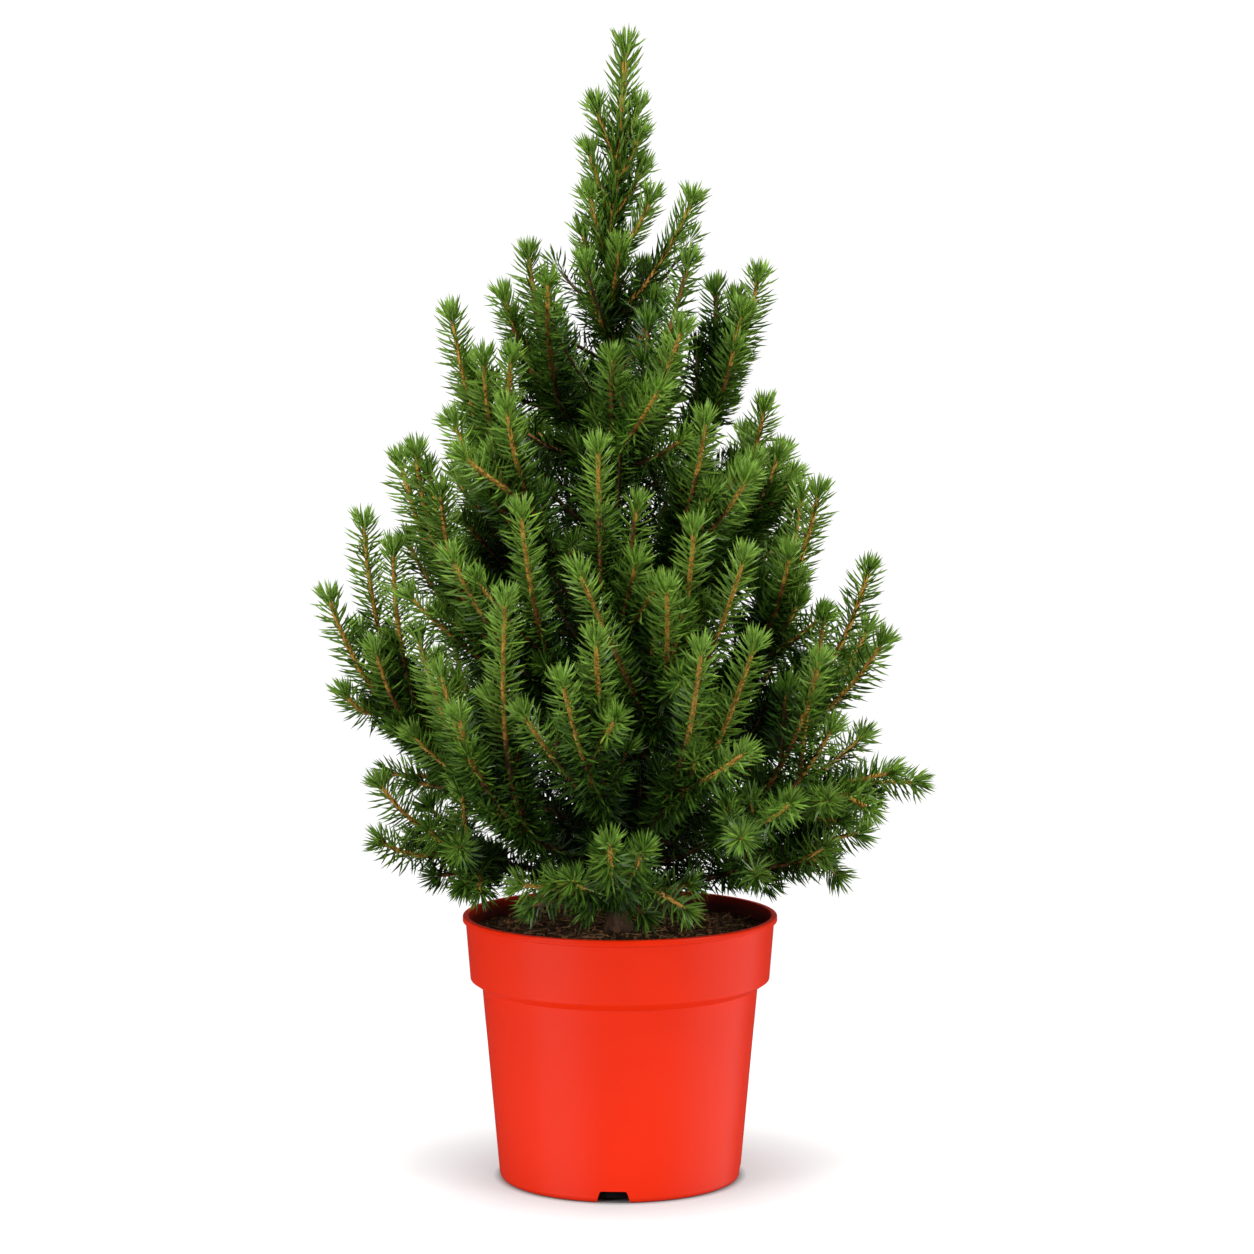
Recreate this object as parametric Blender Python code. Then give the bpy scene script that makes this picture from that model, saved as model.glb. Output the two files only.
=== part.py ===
"""Young dwarf Alberta spruce in its round plastic nursery pot.

Metres, +Z up. The origin is the centre of the pot's flat underside, and -Y is the front.
A shoot's tip is (azimuth in degrees from +X, reach from the pot's axis, height), and is its
bud, which the last needles pass.
"""

import math
import random

import bmesh
import bpy
import numpy as np
from mathutils import Matrix

# ---- Driving dimensions ----

clearance = 0.0003

pot_height = 0.1430
pot_rim_radius = 0.0850
pot_foot_radius = 0.0654
pot_wall = 0.0015
pot_floor = 0.0018
pot_sides = 24
foot_round = 0.0025
inner_foot_round = 0.0018
collar_bottom = 0.1085
collar_radius = 0.0809
shoulder_drop = 0.0042
shoulder_radius = 0.0746
shoulder_wall_rise = 0.0006
lip_height = 0.0034
lip_depth = 0.0016
lip_edge = 0.0004
drain_count = 4
drain_azimuth = 267.0
drain_width_top = 0.0140
drain_width_bottom = 0.0196
drain_height = 0.0065
drain_depth = 0.0090
cutter_overrun = 0.0020

soil_top = 0.1340
soil_roughness = 0.0016
soil_rings = (0.0120, 0.0460)
soil_edge_drop = 0.0012

# The trunk's axis as (x, y, height): it leans a little, first to the left and then back.
trunk_path = (
    (-0.0005, 0.0010, soil_top + clearance),
    (-0.0015, 0.0020, 0.2200),
    (-0.0030, 0.0000, 0.3400),
    (-0.0045, -0.0010, 0.4300),
    (-0.0065, 0.0000, 0.5000),
    (-0.0025, 0.0010, 0.5330),
    (0.0005, 0.0000, 0.5700),
    (0.0030, 0.0000, 0.6030),
)
trunk_foot_radius = 0.0054
trunk_tip_radius = 0.0011
trunk_flare = 0.0032
trunk_flare_height = 0.0130
trunk_sides = 10

bough_bare_length = 0.026
bough_bare_share = 0.24
bough_sides = 5
bough_rings = 3
bough_thickness = 0.016
bough_end_radius = 0.0013
bough_start_shares = np.arange(0.005, 0.300, 0.001)
shoot_bend = 0.72
shoot_lift = 0.20
arched_below = 0.028
fork_turn = 30.0
fork_lateness = 45.0
fork_hug = 0.42
fork_stations_used = slice(1, 5)
curve_steps = 41

# A shoot that would pass closer than this to another is turned aside by a few degrees.
least_apart = 0.0070
shared_root_steps = 10
turns_aside = (0, 3, -3, 6, -6, 9, -9, 12, -12, 16, -16)

# Each bough: the height where it leaves the trunk, its leading shoot's tip, then the tips of its forks.
boughs = {
    "crown_front": (0.362, (266, 0.060, 0.448), (297, 0.075, 0.463), (330, 0.044, 0.500),
                    (284, 0.094, 0.431)),
    "crown_left": (0.385, (172, 0.050, 0.505), (186, 0.064, 0.483), (236, 0.066, 0.487)),
    "crown_right": (0.378, (0, 0.075, 0.493), (12, 0.052, 0.488), (338, 0.066, 0.455)),
    "left_high": (0.325, (180, 0.091, 0.474), (192, 0.074, 0.448), (160, 0.088, 0.445)),
    "front_left_high": (0.315, (234, 0.100, 0.424), (217, 0.110, 0.415), (225, 0.120, 0.397)),
    "right_high": (0.300, (350, 0.079, 0.424), (2, 0.087, 0.398), (10, 0.098, 0.384)),
    "front_right_high": (0.312, (299, 0.092, 0.418), (311, 0.105, 0.388), (328, 0.098, 0.405)),
    "left_mid": (0.262, (176, 0.120, 0.395), (195, 0.112, 0.400), (166, 0.122, 0.350)),
    "front_mid": (0.250, (263, 0.092, 0.406), (277, 0.080, 0.373), (276, 0.098, 0.347)),
    "front_left_mid": (0.235, (243, 0.112, 0.373), (228, 0.131, 0.347), (218, 0.141, 0.325)),
    "right_mid": (0.238, (345, 0.110, 0.380), (332, 0.118, 0.345), (4, 0.104, 0.350)),
    "front_right_mid": (0.222, (290, 0.112, 0.365), (302, 0.122, 0.348), (281, 0.122, 0.333)),
    "left_low": (0.192, (182, 0.158, 0.322), (186, 0.151, 0.270), (180, 0.138, 0.363), (166, 0.148, 0.300)),
    "right_low": (0.205, (2, 0.136, 0.337), (350, 0.146, 0.304), (329, 0.124, 0.313), (14, 0.142, 0.300)),
    "front_left_low": (0.172, (234, 0.141, 0.269), (244, 0.130, 0.330), (226, 0.133, 0.289),
                       (210, 0.140, 0.262)),
    "front_low": (0.188, (265, 0.136, 0.310), (258, 0.142, 0.288), (270, 0.142, 0.267),
                  (246, 0.128, 0.270)),
    "front_right_low": (0.182, (287, 0.141, 0.305), (302, 0.132, 0.305), (297, 0.147, 0.249)),
    "skirt_front_right": (0.168, (317, 0.141, 0.296), (306, 0.150, 0.222), (294, 0.148, 0.203),
                          (324, 0.138, 0.258)),
    "skirt_right": (0.180, (350, 0.150, 0.226), (10, 0.138, 0.241), (356, 0.165, 0.217),
                    (335, 0.152, 0.205)),
    "skirt_front": (0.158, (268, 0.140, 0.205), (254, 0.118, 0.176), (280, 0.110, 0.168),
                    (238, 0.112, 0.182), (298, 0.102, 0.172)),
    "skirt_left": (0.162, (190, 0.132, 0.221), (201, 0.138, 0.193), (203, 0.092, 0.154),
                   (194, 0.118, 0.168)),
    "skirt_low": (0.154, (336, 0.122, 0.172), (312, 0.106, 0.172), (350, 0.130, 0.160),
                  (343, 0.142, 0.192)),
}

# The far side's boughs: where each leaves the trunk, the sector it fills, its lowest and highest tip,
# and how many shoots it has.
far_boughs = {
    "back_high": (0.355, 60, 126, 0.405, 0.478, 5),
    "back_left_mid": (0.290, 104, 158, 0.335, 0.415, 6),
    "back_right_mid": (0.280, 24, 78, 0.330, 0.412, 6),
    "back_mid": (0.226, 74, 112, 0.255, 0.345, 5),
    "back_left_low": (0.182, 104, 164, 0.195, 0.290, 6),
    "back_right_low": (0.198, 20, 80, 0.200, 0.305, 6),
}

# How the far side's tips are spread over their sector, and how much they vary.
sector_step = 0.618
height_play = 0.3
reach_play = (0.92, 1.04)

# The crown's reach at each height, which the far side's shoots grow out to.
crown_heights = (0.150, 0.200, 0.260, 0.320, 0.380, 0.430, 0.490)
crown_reaches = (0.125, 0.148, 0.152, 0.145, 0.120, 0.100, 0.072)

# The leader's foliage runs up the trunk from here, with short side shoots all round it.
leader_start = 0.4250
leader_bore_lead = 0.1000
leader_shoots = (
    (180, 0.0150, 0.578),
    (0, 0.0120, 0.577),
    (350, 0.0130, 0.563),
    (188, 0.0195, 0.554),
    (8, 0.0150, 0.546),
    (201, 0.0205, 0.531),
    (338, 0.0215, 0.529),
    (100, 0.0200, 0.535),
    (172, 0.0240, 0.512),
    (270, 0.0190, 0.503),
    (212, 0.0290, 0.494),
    (8, 0.0400, 0.529),
    (62, 0.0330, 0.492),
    (328, 0.0270, 0.475),
)
leader_shoot_slope = 1.4
leader_shoot_rise = 0.012
leader_shoot_lowest = leader_start + 0.004
leader_shoot_bend = 0.62
leader_shoot_lift = 0.38

# Radii along a plume of needles, from its start to the end of its tuft.
leading_plume_sides = 6
fork_plume_sides = 5
needle_tuft = 0.0045
leader_tuft = 0.0095
leading_stations = (0.0, 0.15, 0.33, 0.55, 0.78, 0.96)
leading_radii = (0.0040, 0.0130, 0.0180, 0.0165, 0.0120, 0.0082)
fork_stations = (0.0, 0.30, 0.64, 0.94)
fork_radii = (0.0030, 0.0120, 0.0125, 0.0080)
short_fork = 0.085
short_fork_stations = (0.0, 0.45, 0.93)
short_fork_radii = (0.0030, 0.0120, 0.0082)
leader_stations = (0.0, 0.10, 0.28, 0.46, 0.64, 0.82, 0.96)
leader_radii = (0.0120, 0.0140, 0.0130, 0.0110, 0.0105, 0.0100, 0.0085)
leader_shoot_stations = (0.0, 0.42, 0.90)
leader_shoot_radii = (0.0024, 0.0085, 0.0068)
plume_unevenness = 0.14

# The room that masses leave to each other, to the wood, and to the pot's rim and its soil.
mass_gap = 0.0012
limb_gap = 0.0008
rim_gap = 0.0012
rim_margin = 0.0035
rim_band = 0.0080
soil_gap = 0.0030
neighbour_distance = 0.16
draw_in_rounds = 24
draw_in_share = 0.9
least_plume_radius = 0.0012
least_tip_share = 0.25
surface_samples = (0.25, 0.5, 0.75)
limb_samples = 12
trunk_samples = 90


# ---- Small helpers ----


def srgb(code):
    """A colour given as a hex code, as the linear values that a shader takes."""
    channels = [int(code[i : i + 2], 16) / 255 for i in (1, 3, 5)]
    return [c / 12.92 if c <= 0.04045 else ((c + 0.055) / 1.055) ** 2.4 for c in channels] + [1.0]


def plain_material(name, code, roughness):
    material = bpy.data.materials.new(name)
    material.use_nodes = True
    shader = material.node_tree.nodes["Principled BSDF"]
    shader.inputs["Base Color"].default_value = srgb(code)
    shader.inputs["Roughness"].default_value = roughness
    shader.inputs["Metallic"].default_value = 0.0
    material.diffuse_color = srgb(code)
    return material


def add_object(name, mesh, material, smooth_angle=None):
    bm = bmesh.new()
    bm.from_mesh(mesh)
    bmesh.ops.recalc_face_normals(bm, faces=bm.faces)
    bm.to_mesh(mesh)
    bm.free()
    if smooth_angle is not None:
        mesh.shade_smooth()
        mesh.set_sharp_from_angle(angle=math.radians(smooth_angle))
    mesh.materials.append(material)
    part = bpy.data.objects.new(name, mesh)
    bpy.context.scene.collection.objects.link(part)
    return part


def cut_with(part, cutter, operation="DIFFERENCE"):
    cutter.hide_render = True
    cutter.display_type = "WIRE"
    boolean = part.modifiers.new(cutter.name, "BOOLEAN")
    boolean.operation = operation
    boolean.solver = "EXACT"
    boolean.object = cutter


def loft(name, rings, tip=None):
    """A closed mesh through rings of points. It ends in a flat face, or at the point `tip`."""
    bm = bmesh.new()
    loops = [[bm.verts.new(point) for point in ring] for ring in rings]
    for lower, upper in zip(loops, loops[1:]):
        for i, point in enumerate(lower):
            after = (i + 1) % len(lower)
            bm.faces.new((point, lower[after], upper[after], upper[i]))
    bm.faces.new(reversed(loops[0]))
    if tip is None:
        bm.faces.new(loops[-1])
    else:
        point = bm.verts.new(tip)
        for i, corner in enumerate(loops[-1]):
            bm.faces.new((corner, loops[-1][(i + 1) % len(loops[-1])], point))
    bmesh.ops.triangulate(bm, faces=bm.faces)
    mesh = bpy.data.meshes.new(name)
    bm.to_mesh(mesh)
    bm.free()
    return mesh


def turned(name, profile, sides):
    """A solid turned about Z from a profile that starts and ends on the axis."""
    bm = bmesh.new()
    points = [bm.verts.new((radius, 0.0, height)) for radius, height in profile]
    edges = [bm.edges.new(pair) for pair in zip(points, points[1:])]
    bmesh.ops.spin(
        bm,
        geom=points + edges,
        cent=(0, 0, 0),
        axis=(0, 0, 1),
        angle=math.tau,
        steps=sides,
        use_merge=True,
    )
    bmesh.ops.remove_doubles(bm, verts=bm.verts, dist=1e-6)
    mesh = bpy.data.meshes.new(name)
    bm.to_mesh(mesh)
    bm.free()
    return mesh


# ---- The shoots' curves ----


def along(azimuth, reach, height):
    """The point at this azimuth (degrees), reach and height."""
    angle = math.radians(azimuth)
    return np.array([math.cos(angle) * reach, math.sin(angle) * reach, height])


def trunk_at(height):
    path = np.array(trunk_path)
    return np.array([np.interp(height, path[:, 2], path[:, i]) for i in range(3)])


def trunk_radius(height):
    foot = trunk_path[0][2]
    share = (height - foot) / (trunk_path[-1][2] - foot)
    taper = trunk_foot_radius + (trunk_tip_radius - trunk_foot_radius) * share**0.85
    flare = max(0.0, 1 - (height - foot) / trunk_flare_height)
    return taper + trunk_flare * flare**2


def bezier(start, middle, end):
    t = np.linspace(0, 1, curve_steps)[:, None]
    return (1 - t) ** 2 * start + 2 * t * (1 - t) * middle + t**2 * end


def point_on(curve, share):
    place = share * (len(curve) - 1)
    step = min(int(place), len(curve) - 2)
    return curve[step] + (curve[step + 1] - curve[step]) * (place - step)


def direction_on(curve, share):
    step = min(int(share * (len(curve) - 1)), len(curve) - 2)
    heading = curve[step + 1] - curve[step]
    return heading / np.linalg.norm(heading)


def length_of(curve):
    return float(np.linalg.norm(np.diff(curve, axis=0), axis=1).sum())


def bough_end_share(curve):
    """How far along its leading shoot a bough runs before it enters its mass."""
    return max(bough_bare_length / length_of(curve), bough_bare_share)


def station_shares(start, stations):
    """A plume's stations as shares of its whole shoot."""
    return [start + (1 - start) * station for station in stations]


def leading_curve(root_height, tip):
    """A bough sets out low from the trunk and then turns up to its tip."""
    root = trunk_at(root_height)
    run = along(*tip) - root
    arch = max(0.0, arched_below - run[2])
    middle = root + run * np.array([shoot_bend, shoot_bend, shoot_lift]) + np.array([0, 0, arch])
    return bezier(root, middle, along(*tip))


def fork_curve(parent, tip):
    """A fork leaves its parent where it turns about `fork_turn` degrees, and curves round to its tip."""
    end = along(*tip)

    def turn_at(share):
        way = end - point_on(parent, share)
        cosine = way @ direction_on(parent, share) / np.linalg.norm(way)
        return math.degrees(math.acos(max(-1.0, min(1.0, cosine))))

    shares = station_shares(bough_end_share(parent), leading_stations)[fork_stations_used]
    share = min(shares, key=lambda s: abs(turn_at(s) - fork_turn) + fork_lateness * s)
    start = point_on(parent, share)
    hug = np.linalg.norm(end - start) * fork_hug
    return bezier(start, start + direction_on(parent, share) * hug, end)


def nearest(points, others):
    """For each point, its distance to the nearest of the others."""
    gaps = points[:, None, :] - others[None, :, :]
    return np.sqrt((gaps**2).sum(axis=2).min(axis=1))


def clear_curve(make, tip, placed):
    """The curve to this tip, turned aside a little where it would run into a shoot that is placed."""
    azimuth, reach, height = tip
    best = None
    for aside in turns_aside:
        curve = make((azimuth + aside, reach, height))
        apart = nearest(curve[shared_root_steps:], placed).min() if len(placed) else 1.0
        if best is None or apart > best[0]:
            best = (apart, curve)
        if apart >= least_apart:
            break
    return best[1]


def far_tips(first, last, lowest, highest, count, seed):
    """Tips spread over one sector of the crown's outline, the lower ones further out."""
    chance = random.Random(seed)
    tips = []
    for i in range(count):
        drop = (i + height_play * chance.random()) / (count - 1 + height_play)
        height = highest - (highest - lowest) * drop
        share = (0.5 + i * sector_step) % 1.0
        azimuth = first + (last - first) * share
        reach = np.interp(height, crown_heights, crown_reaches) * chance.uniform(*reach_play)
        tips.append((azimuth, float(reach), height))
    return tips


def grow_shoots():
    """Every mass's shoots, as {mass: [curve, ...]} with the leading one first."""
    plan = {name: (root, tips) for name, (root, *tips) in boughs.items()}
    for seed, (name, (root, *sector)) in enumerate(far_boughs.items()):
        plan[name] = (root, far_tips(*sector, seed=seed))
    shoots = {}
    for name, (root, tips) in plan.items():
        placed = points_of_others(shoots, name)
        shoots[name] = [clear_curve(lambda tip: leading_curve(root, tip), tips[0], placed)]
    for name, (root, tips) in plan.items():
        placed = points_of_others(shoots, name)
        for tip in tips[1:]:
            shoots[name].append(clear_curve(lambda tip: fork_curve(shoots[name][0], tip), tip, placed))
    shoots["leader"] = grow_leader()
    return shoots


def points_of_others(shoots, mass):
    """Every point on the shoots of all the masses but this one."""
    others = [curve for name, group in shoots.items() if name != mass for curve in group]
    return np.concatenate(others) if others else np.empty((0, 3))


def grow_leader():
    """The trunk's own upper end, then the short shoots round it."""
    heights = np.linspace(leader_start, trunk_path[-1][2], curve_steps)
    leader = [np.array([trunk_at(height) for height in heights])]
    for tip in leader_shoots:
        _, reach, height = tip
        root_height = height - leader_shoot_slope * reach - leader_shoot_rise
        root = trunk_at(max(leader_shoot_lowest, root_height))
        run = along(*tip) - root
        middle = root + run * np.array([leader_shoot_bend, leader_shoot_bend, leader_shoot_lift])
        leader.append(bezier(root, middle, root + run))
    return leader


def bough_section(curve, share, radius):
    """The corners of a round section across a bough, square to its direction."""
    heading = direction_on(curve, share)
    side = np.cross(heading, [0.0, 0.0, 1.0])
    side /= np.linalg.norm(side)
    across = np.cross(heading, side)
    turns = [math.tau * i / bough_sides for i in range(bough_sides)]
    return [point_on(curve, share) + radius * (math.cos(t) * side + math.sin(t) * across) for t in turns]


def bough_start_share(curve, radius):
    """Where a bough clears the trunk's surface, with the nearest corner of its flat end just off it."""
    for share in bough_start_shares:
        corners = bough_section(curve, share, radius)
        off = min(np.linalg.norm((c - trunk_at(c[2]))[:2]) - trunk_radius(c[2]) for c in corners)
        if off >= clearance:
            break
    return float(share)


# ---- Plumes of needles ----


class Plume:
    """The sleeve of needles round one shoot, kept inside its own mass's share of the crown."""

    def __init__(self, mass, curve, shares, radii, sides, tuft, chance):
        self.mass = mass
        self.curve = curve
        self.tuft = tuft
        self.tip_share = 1.0
        self.centres = np.array([point_on(curve, share) for share in shares])
        turns = [math.tau * i / sides for i in range(sides)]
        side = np.array([1.0, 0.0, 0.0])
        spokes = []
        for share in shares:
            heading = direction_on(curve, share)
            side = side - heading * (side @ heading)
            side /= np.linalg.norm(side)
            across = np.cross(heading, side)
            spokes.append([math.cos(turn) * side + math.sin(turn) * across for turn in turns])
        self.spokes = np.array(spokes)
        uneven = [[1 + chance.uniform(-1, 1) * plume_unevenness for _ in turns] for _ in shares]
        self.radii = np.array(radii)[:, None] * np.array(uneven)

    def points(self):
        rings = self.centres[:, None, :] + self.spokes * self.radii[:, :, None]
        last = self.centres[-1]
        tip = self.curve[-1] + direction_on(self.curve, 1.0) * self.tuft
        return rings, last + (tip - last) * self.tip_share

    def samples(self):
        """Points all over the plume's surface, each with the ring corners that it hangs on."""
        rings, tip = self.points()
        places, owners = [], []
        count = rings.shape[1]
        for ring in range(len(rings)):
            for i in range(count):
                here, beside = rings[ring, i], rings[ring, (i + 1) % count]
                corners = [(ring, i), (ring, (i + 1) % count)]
                places += [here, (here + beside) / 2]
                owners += [corners[:1], corners]
                if ring + 1 < len(rings):
                    above, across = rings[ring + 1, i], rings[ring + 1, (i + 1) % count]
                    upper = [(ring + 1, i), (ring + 1, (i + 1) % count)]
                    for share in surface_samples:
                        low = here + (above - here) * share
                        high = beside + (across - beside) * share
                        places += [low, (low + high) / 2]
                        owners += [[corners[0], upper[0]], corners + upper]
                else:
                    places += [(here + tip) / 2, (here + beside + tip) / 3]
                    owners += [[corners[0], None], corners + [None]]
        return np.array(places + [tip]), owners + [[None]]

    def draw_in(self, corner):
        """Pulls this corner, or the tip, in towards the shoot."""
        if corner is None:
            self.tip_share = max(least_tip_share, self.tip_share * draw_in_share)
        else:
            self.radii[corner] = max(least_plume_radius, self.radii[corner] * draw_in_share)


def keep_plumes_apart(plumes, shoots, limbs):
    """Draws each plume in until it is nearer its own mass's shoots than any other's, and off the wood."""
    wood = np.concatenate([points for points, _ in limbs])
    girth = np.concatenate([radii for _, radii in limbs])
    for plume in plumes:
        own = np.concatenate(shoots[plume.mass])
        others = points_of_others(shoots, plume.mass)
        near = np.linalg.norm(others - plume.curve.mean(axis=0), axis=1) < neighbour_distance
        others = others[near]
        for _ in range(draw_in_rounds):
            places, owners = plume.samples()
            apart = nearest(places, others) - nearest(places, own)
            bad = (apart < mass_gap) | (places[:, 2] < lowest_foliage(places))
            if plume.mass != "leader":
                off_wood = np.linalg.norm(places[:, None, :] - wood[None], axis=2) - girth
                bad |= off_wood.min(axis=1) < limb_gap
            if not bad.any():
                break
            for corner in {c for index in np.flatnonzero(bad) for c in owners[index]}:
                plume.draw_in(corner)


def lowest_foliage(places):
    """How low the foliage may hang at each place: over the rim, over the soil, or past the pot."""
    off_axis = np.linalg.norm(places[:, :2], axis=1)
    floor = np.where(off_axis < pot_rim_radius + rim_margin, pot_height + rim_gap, 0.0)
    return np.where(off_axis < pot_rim_radius - rim_band, soil_top + soil_gap, floor)


# ---- The pieces ----


def build_pot(material):
    outer = [
        (0.0, 0.0),
        (pot_foot_radius - foot_round, 0.0),
        (pot_foot_radius, foot_round),
        (shoulder_radius, collar_bottom - shoulder_drop),
        (collar_radius, collar_bottom),
        (pot_rim_radius - lip_depth, pot_height - lip_height),
        (pot_rim_radius, pot_height - lip_height + lip_edge),
        (pot_rim_radius - lip_edge, pot_height),
    ]
    inner = [
        (pot_rim_radius - lip_depth - pot_wall, pot_height),
        (collar_radius - pot_wall, collar_bottom + shoulder_wall_rise),
        (shoulder_radius - pot_wall, collar_bottom - shoulder_drop + shoulder_wall_rise),
        (pot_foot_radius - pot_wall, pot_floor + inner_foot_round),
        (pot_foot_radius - pot_wall - inner_foot_round, pot_floor),
        (0.0, pot_floor),
    ]
    pot = add_object("pot", turned("pot", outer + inner, pot_sides), material, 35)
    for i in range(drain_count):
        turn = drain_azimuth + 360 / drain_count * i
        cut_with(pot, build_drain_cutter(f"drain_cutter_{i + 1}", turn, material))
    return pot


def build_drain_cutter(name, azimuth, material):
    """A block, narrower at its top, that opens one drain notch through the foot of the wall."""
    outline = [
        (-drain_width_bottom / 2, -cutter_overrun),
        (drain_width_bottom / 2, -cutter_overrun),
        (drain_width_top / 2, drain_height),
        (-drain_width_top / 2, drain_height),
    ]
    near, far = pot_foot_radius - drain_depth, pot_foot_radius + cutter_overrun
    mesh = loft(name, [[(near, y, z) for y, z in outline], [(far, y, z) for y, z in outline]])
    mesh.transform(Matrix.Rotation(math.radians(azimuth), 4, "Z"))
    return add_object(name, mesh, material)


def build_soil(material):
    """Compost that fills the pot to just under its rim, flat under the trunk and rough elsewhere."""
    wall = pot_wall + clearance
    edge_height = soil_top - soil_edge_drop
    collar_radii = (collar_radius, pot_rim_radius - lip_depth)
    edge_radius = np.interp(edge_height, (collar_bottom, pot_height), collar_radii) - clearance
    profile = [
        (0.0, pot_floor + clearance),
        (pot_foot_radius - wall - inner_foot_round, pot_floor + clearance),
        (shoulder_radius - wall, collar_bottom - shoulder_drop + shoulder_wall_rise),
        (collar_radius - wall, collar_bottom + shoulder_wall_rise + clearance),
        (edge_radius - wall, edge_height),
    ]
    profile += [(radius, soil_top) for radius in reversed(soil_rings)] + [(0.0, soil_top)]
    mesh = turned("soil", profile, pot_sides)
    chance = random.Random(7)
    rough_from = sum(soil_rings) / 2
    for vertex in mesh.vertices:
        if vertex.co.z > edge_height and math.hypot(*vertex.co[:2]) > rough_from:
            vertex.co.z += chance.uniform(-1, 1) * soil_roughness
    return add_object("soil", mesh, material, 50)


def trunk_sections(heights, margin):
    """Level sections through the trunk, each wider than the wood by the margin."""
    turns = [math.tau * i / trunk_sides for i in range(trunk_sides)]
    sections = []
    for height in heights:
        centre = trunk_at(height) * np.array([1, 1, 0]) + np.array([0, 0, height])
        radius = trunk_radius(min(height, trunk_path[-1][2])) + margin
        sections.append([centre + radius * np.array([math.cos(t), math.sin(t), 0]) for t in turns])
    return sections


def trunk_heights():
    """Heights of the trunk's sections, closer together in the root flare and over each bend."""
    foot = trunk_path[0][2]
    flare = [foot, foot + trunk_flare_height / 2, foot + trunk_flare_height]
    return flare + [point[2] for point in trunk_path[1:]]


def build_trunk(material):
    bud = trunk_at(trunk_path[-1][2]) + np.array([0, 0, trunk_tip_radius])
    return add_object("trunk", loft("trunk", trunk_sections(trunk_heights(), 0.0), bud), material, 50)


def build_trunk_cutter(material):
    """The bore for the trunk through the leader's foliage, blind just above the trunk's tip."""
    heights = [height for height in trunk_heights() if height > leader_start - leader_bore_lead]
    heights.append(trunk_path[-1][2] + trunk_tip_radius + clearance)
    sections = trunk_sections(heights, clearance * 1.5)
    return add_object("trunk_bore_cutter", loft("trunk_bore_cutter", sections), material)


def bough_radius(curve):
    return bough_end_radius + length_of(curve) * bough_thickness / 2


def build_boughs(shoots, material):
    """Each bough, bare from just off the trunk to where its mass begins.

    It gives back every limb, and the trunk, as points along it with the radius at each.
    """
    limbs = []
    for name, group in shoots.items():
        if name == "leader":
            continue
        curve, radius = group[0], bough_radius(group[0])
        start = bough_start_share(curve, radius)
        end = bough_end_share(curve)
        shares = np.linspace(start, end - clearance / length_of(curve), bough_rings)
        girths = np.linspace(radius, bough_end_radius, bough_rings)
        rings = [bough_section(curve, share, girth) for share, girth in zip(shares, girths)]
        add_object(f"bough_{name}", loft(f"bough_{name}", rings), material, 60)
        shares = np.linspace(start, end, limb_samples)[:-1]
        points = np.array([point_on(curve, share) for share in shares])
        limbs.append((points, np.linspace(radius, bough_end_radius, limb_samples)[:-1]))
    heights = np.linspace(trunk_path[0][2], trunk_path[-1][2], trunk_samples)
    points = np.array([trunk_at(height) for height in heights])
    limbs.append((points, np.array([trunk_radius(height) for height in heights])))
    return limbs


def grow_plumes(shoots):
    chance = random.Random(11)
    plumes = []
    for name, (leading, *forks) in shoots.items():
        if name == "leader":
            shares, radii, tuft = leader_stations, leader_radii, leader_tuft
        else:
            shares = station_shares(bough_end_share(leading), leading_stations)
            radii, tuft = leading_radii, needle_tuft
        plumes.append(Plume(name, leading, shares, radii, leading_plume_sides, tuft, chance))
        for curve in forks:
            if name == "leader":
                shares, radii = leader_shoot_stations, leader_shoot_radii
            elif length_of(curve) < short_fork:
                shares, radii = short_fork_stations, short_fork_radii
            else:
                shares, radii = fork_stations, fork_radii
            plumes.append(Plume(name, curve, shares, radii, fork_plume_sides, needle_tuft, chance))
    return plumes


def build_masses(plumes, materials):
    """Joins each mass's plumes into one solid."""
    masses = {}
    for plume in plumes:
        rings, tip = plume.points()
        name = f"foliage_{plume.mass}"
        if plume.mass in masses:
            lead = masses[plume.mass]
            name += f"_side_{len(lead.modifiers) + 1}"
            side = add_object(name, loft(name, rings, tip), lead.data.materials[0])
            cut_with(lead, side, "UNION")
        else:
            material = materials[len(masses) % len(materials)]
            masses[plume.mass] = add_object(name, loft(name, rings, tip), material)
    return masses


def main():
    for old in list(bpy.data.objects):
        bpy.data.objects.remove(old, do_unlink=True)
    plastic = plain_material("red_pot_plastic", "#F23A22", 0.38)
    peat = plain_material("dark_peat", "#2A1C14", 0.95)
    bark = plain_material("spruce_bark", "#6E4526", 0.85)
    greens = [
        plain_material(f"spruce_needles_{i + 1}", code, 0.60)
        for i, code in enumerate(("#3E6B26", "#4A7A2C", "#35602A", "#557F30"))
    ]
    build_pot(plastic)
    build_soil(peat)
    build_trunk(bark)
    shoots = grow_shoots()
    limbs = build_boughs(shoots, bark)
    plumes = grow_plumes(shoots)
    keep_plumes_apart(plumes, shoots, limbs)
    masses = build_masses(plumes, greens)
    cut_with(masses["leader"], build_trunk_cutter(bark))


main()
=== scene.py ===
import math
import random
from contextlib import contextmanager

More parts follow.
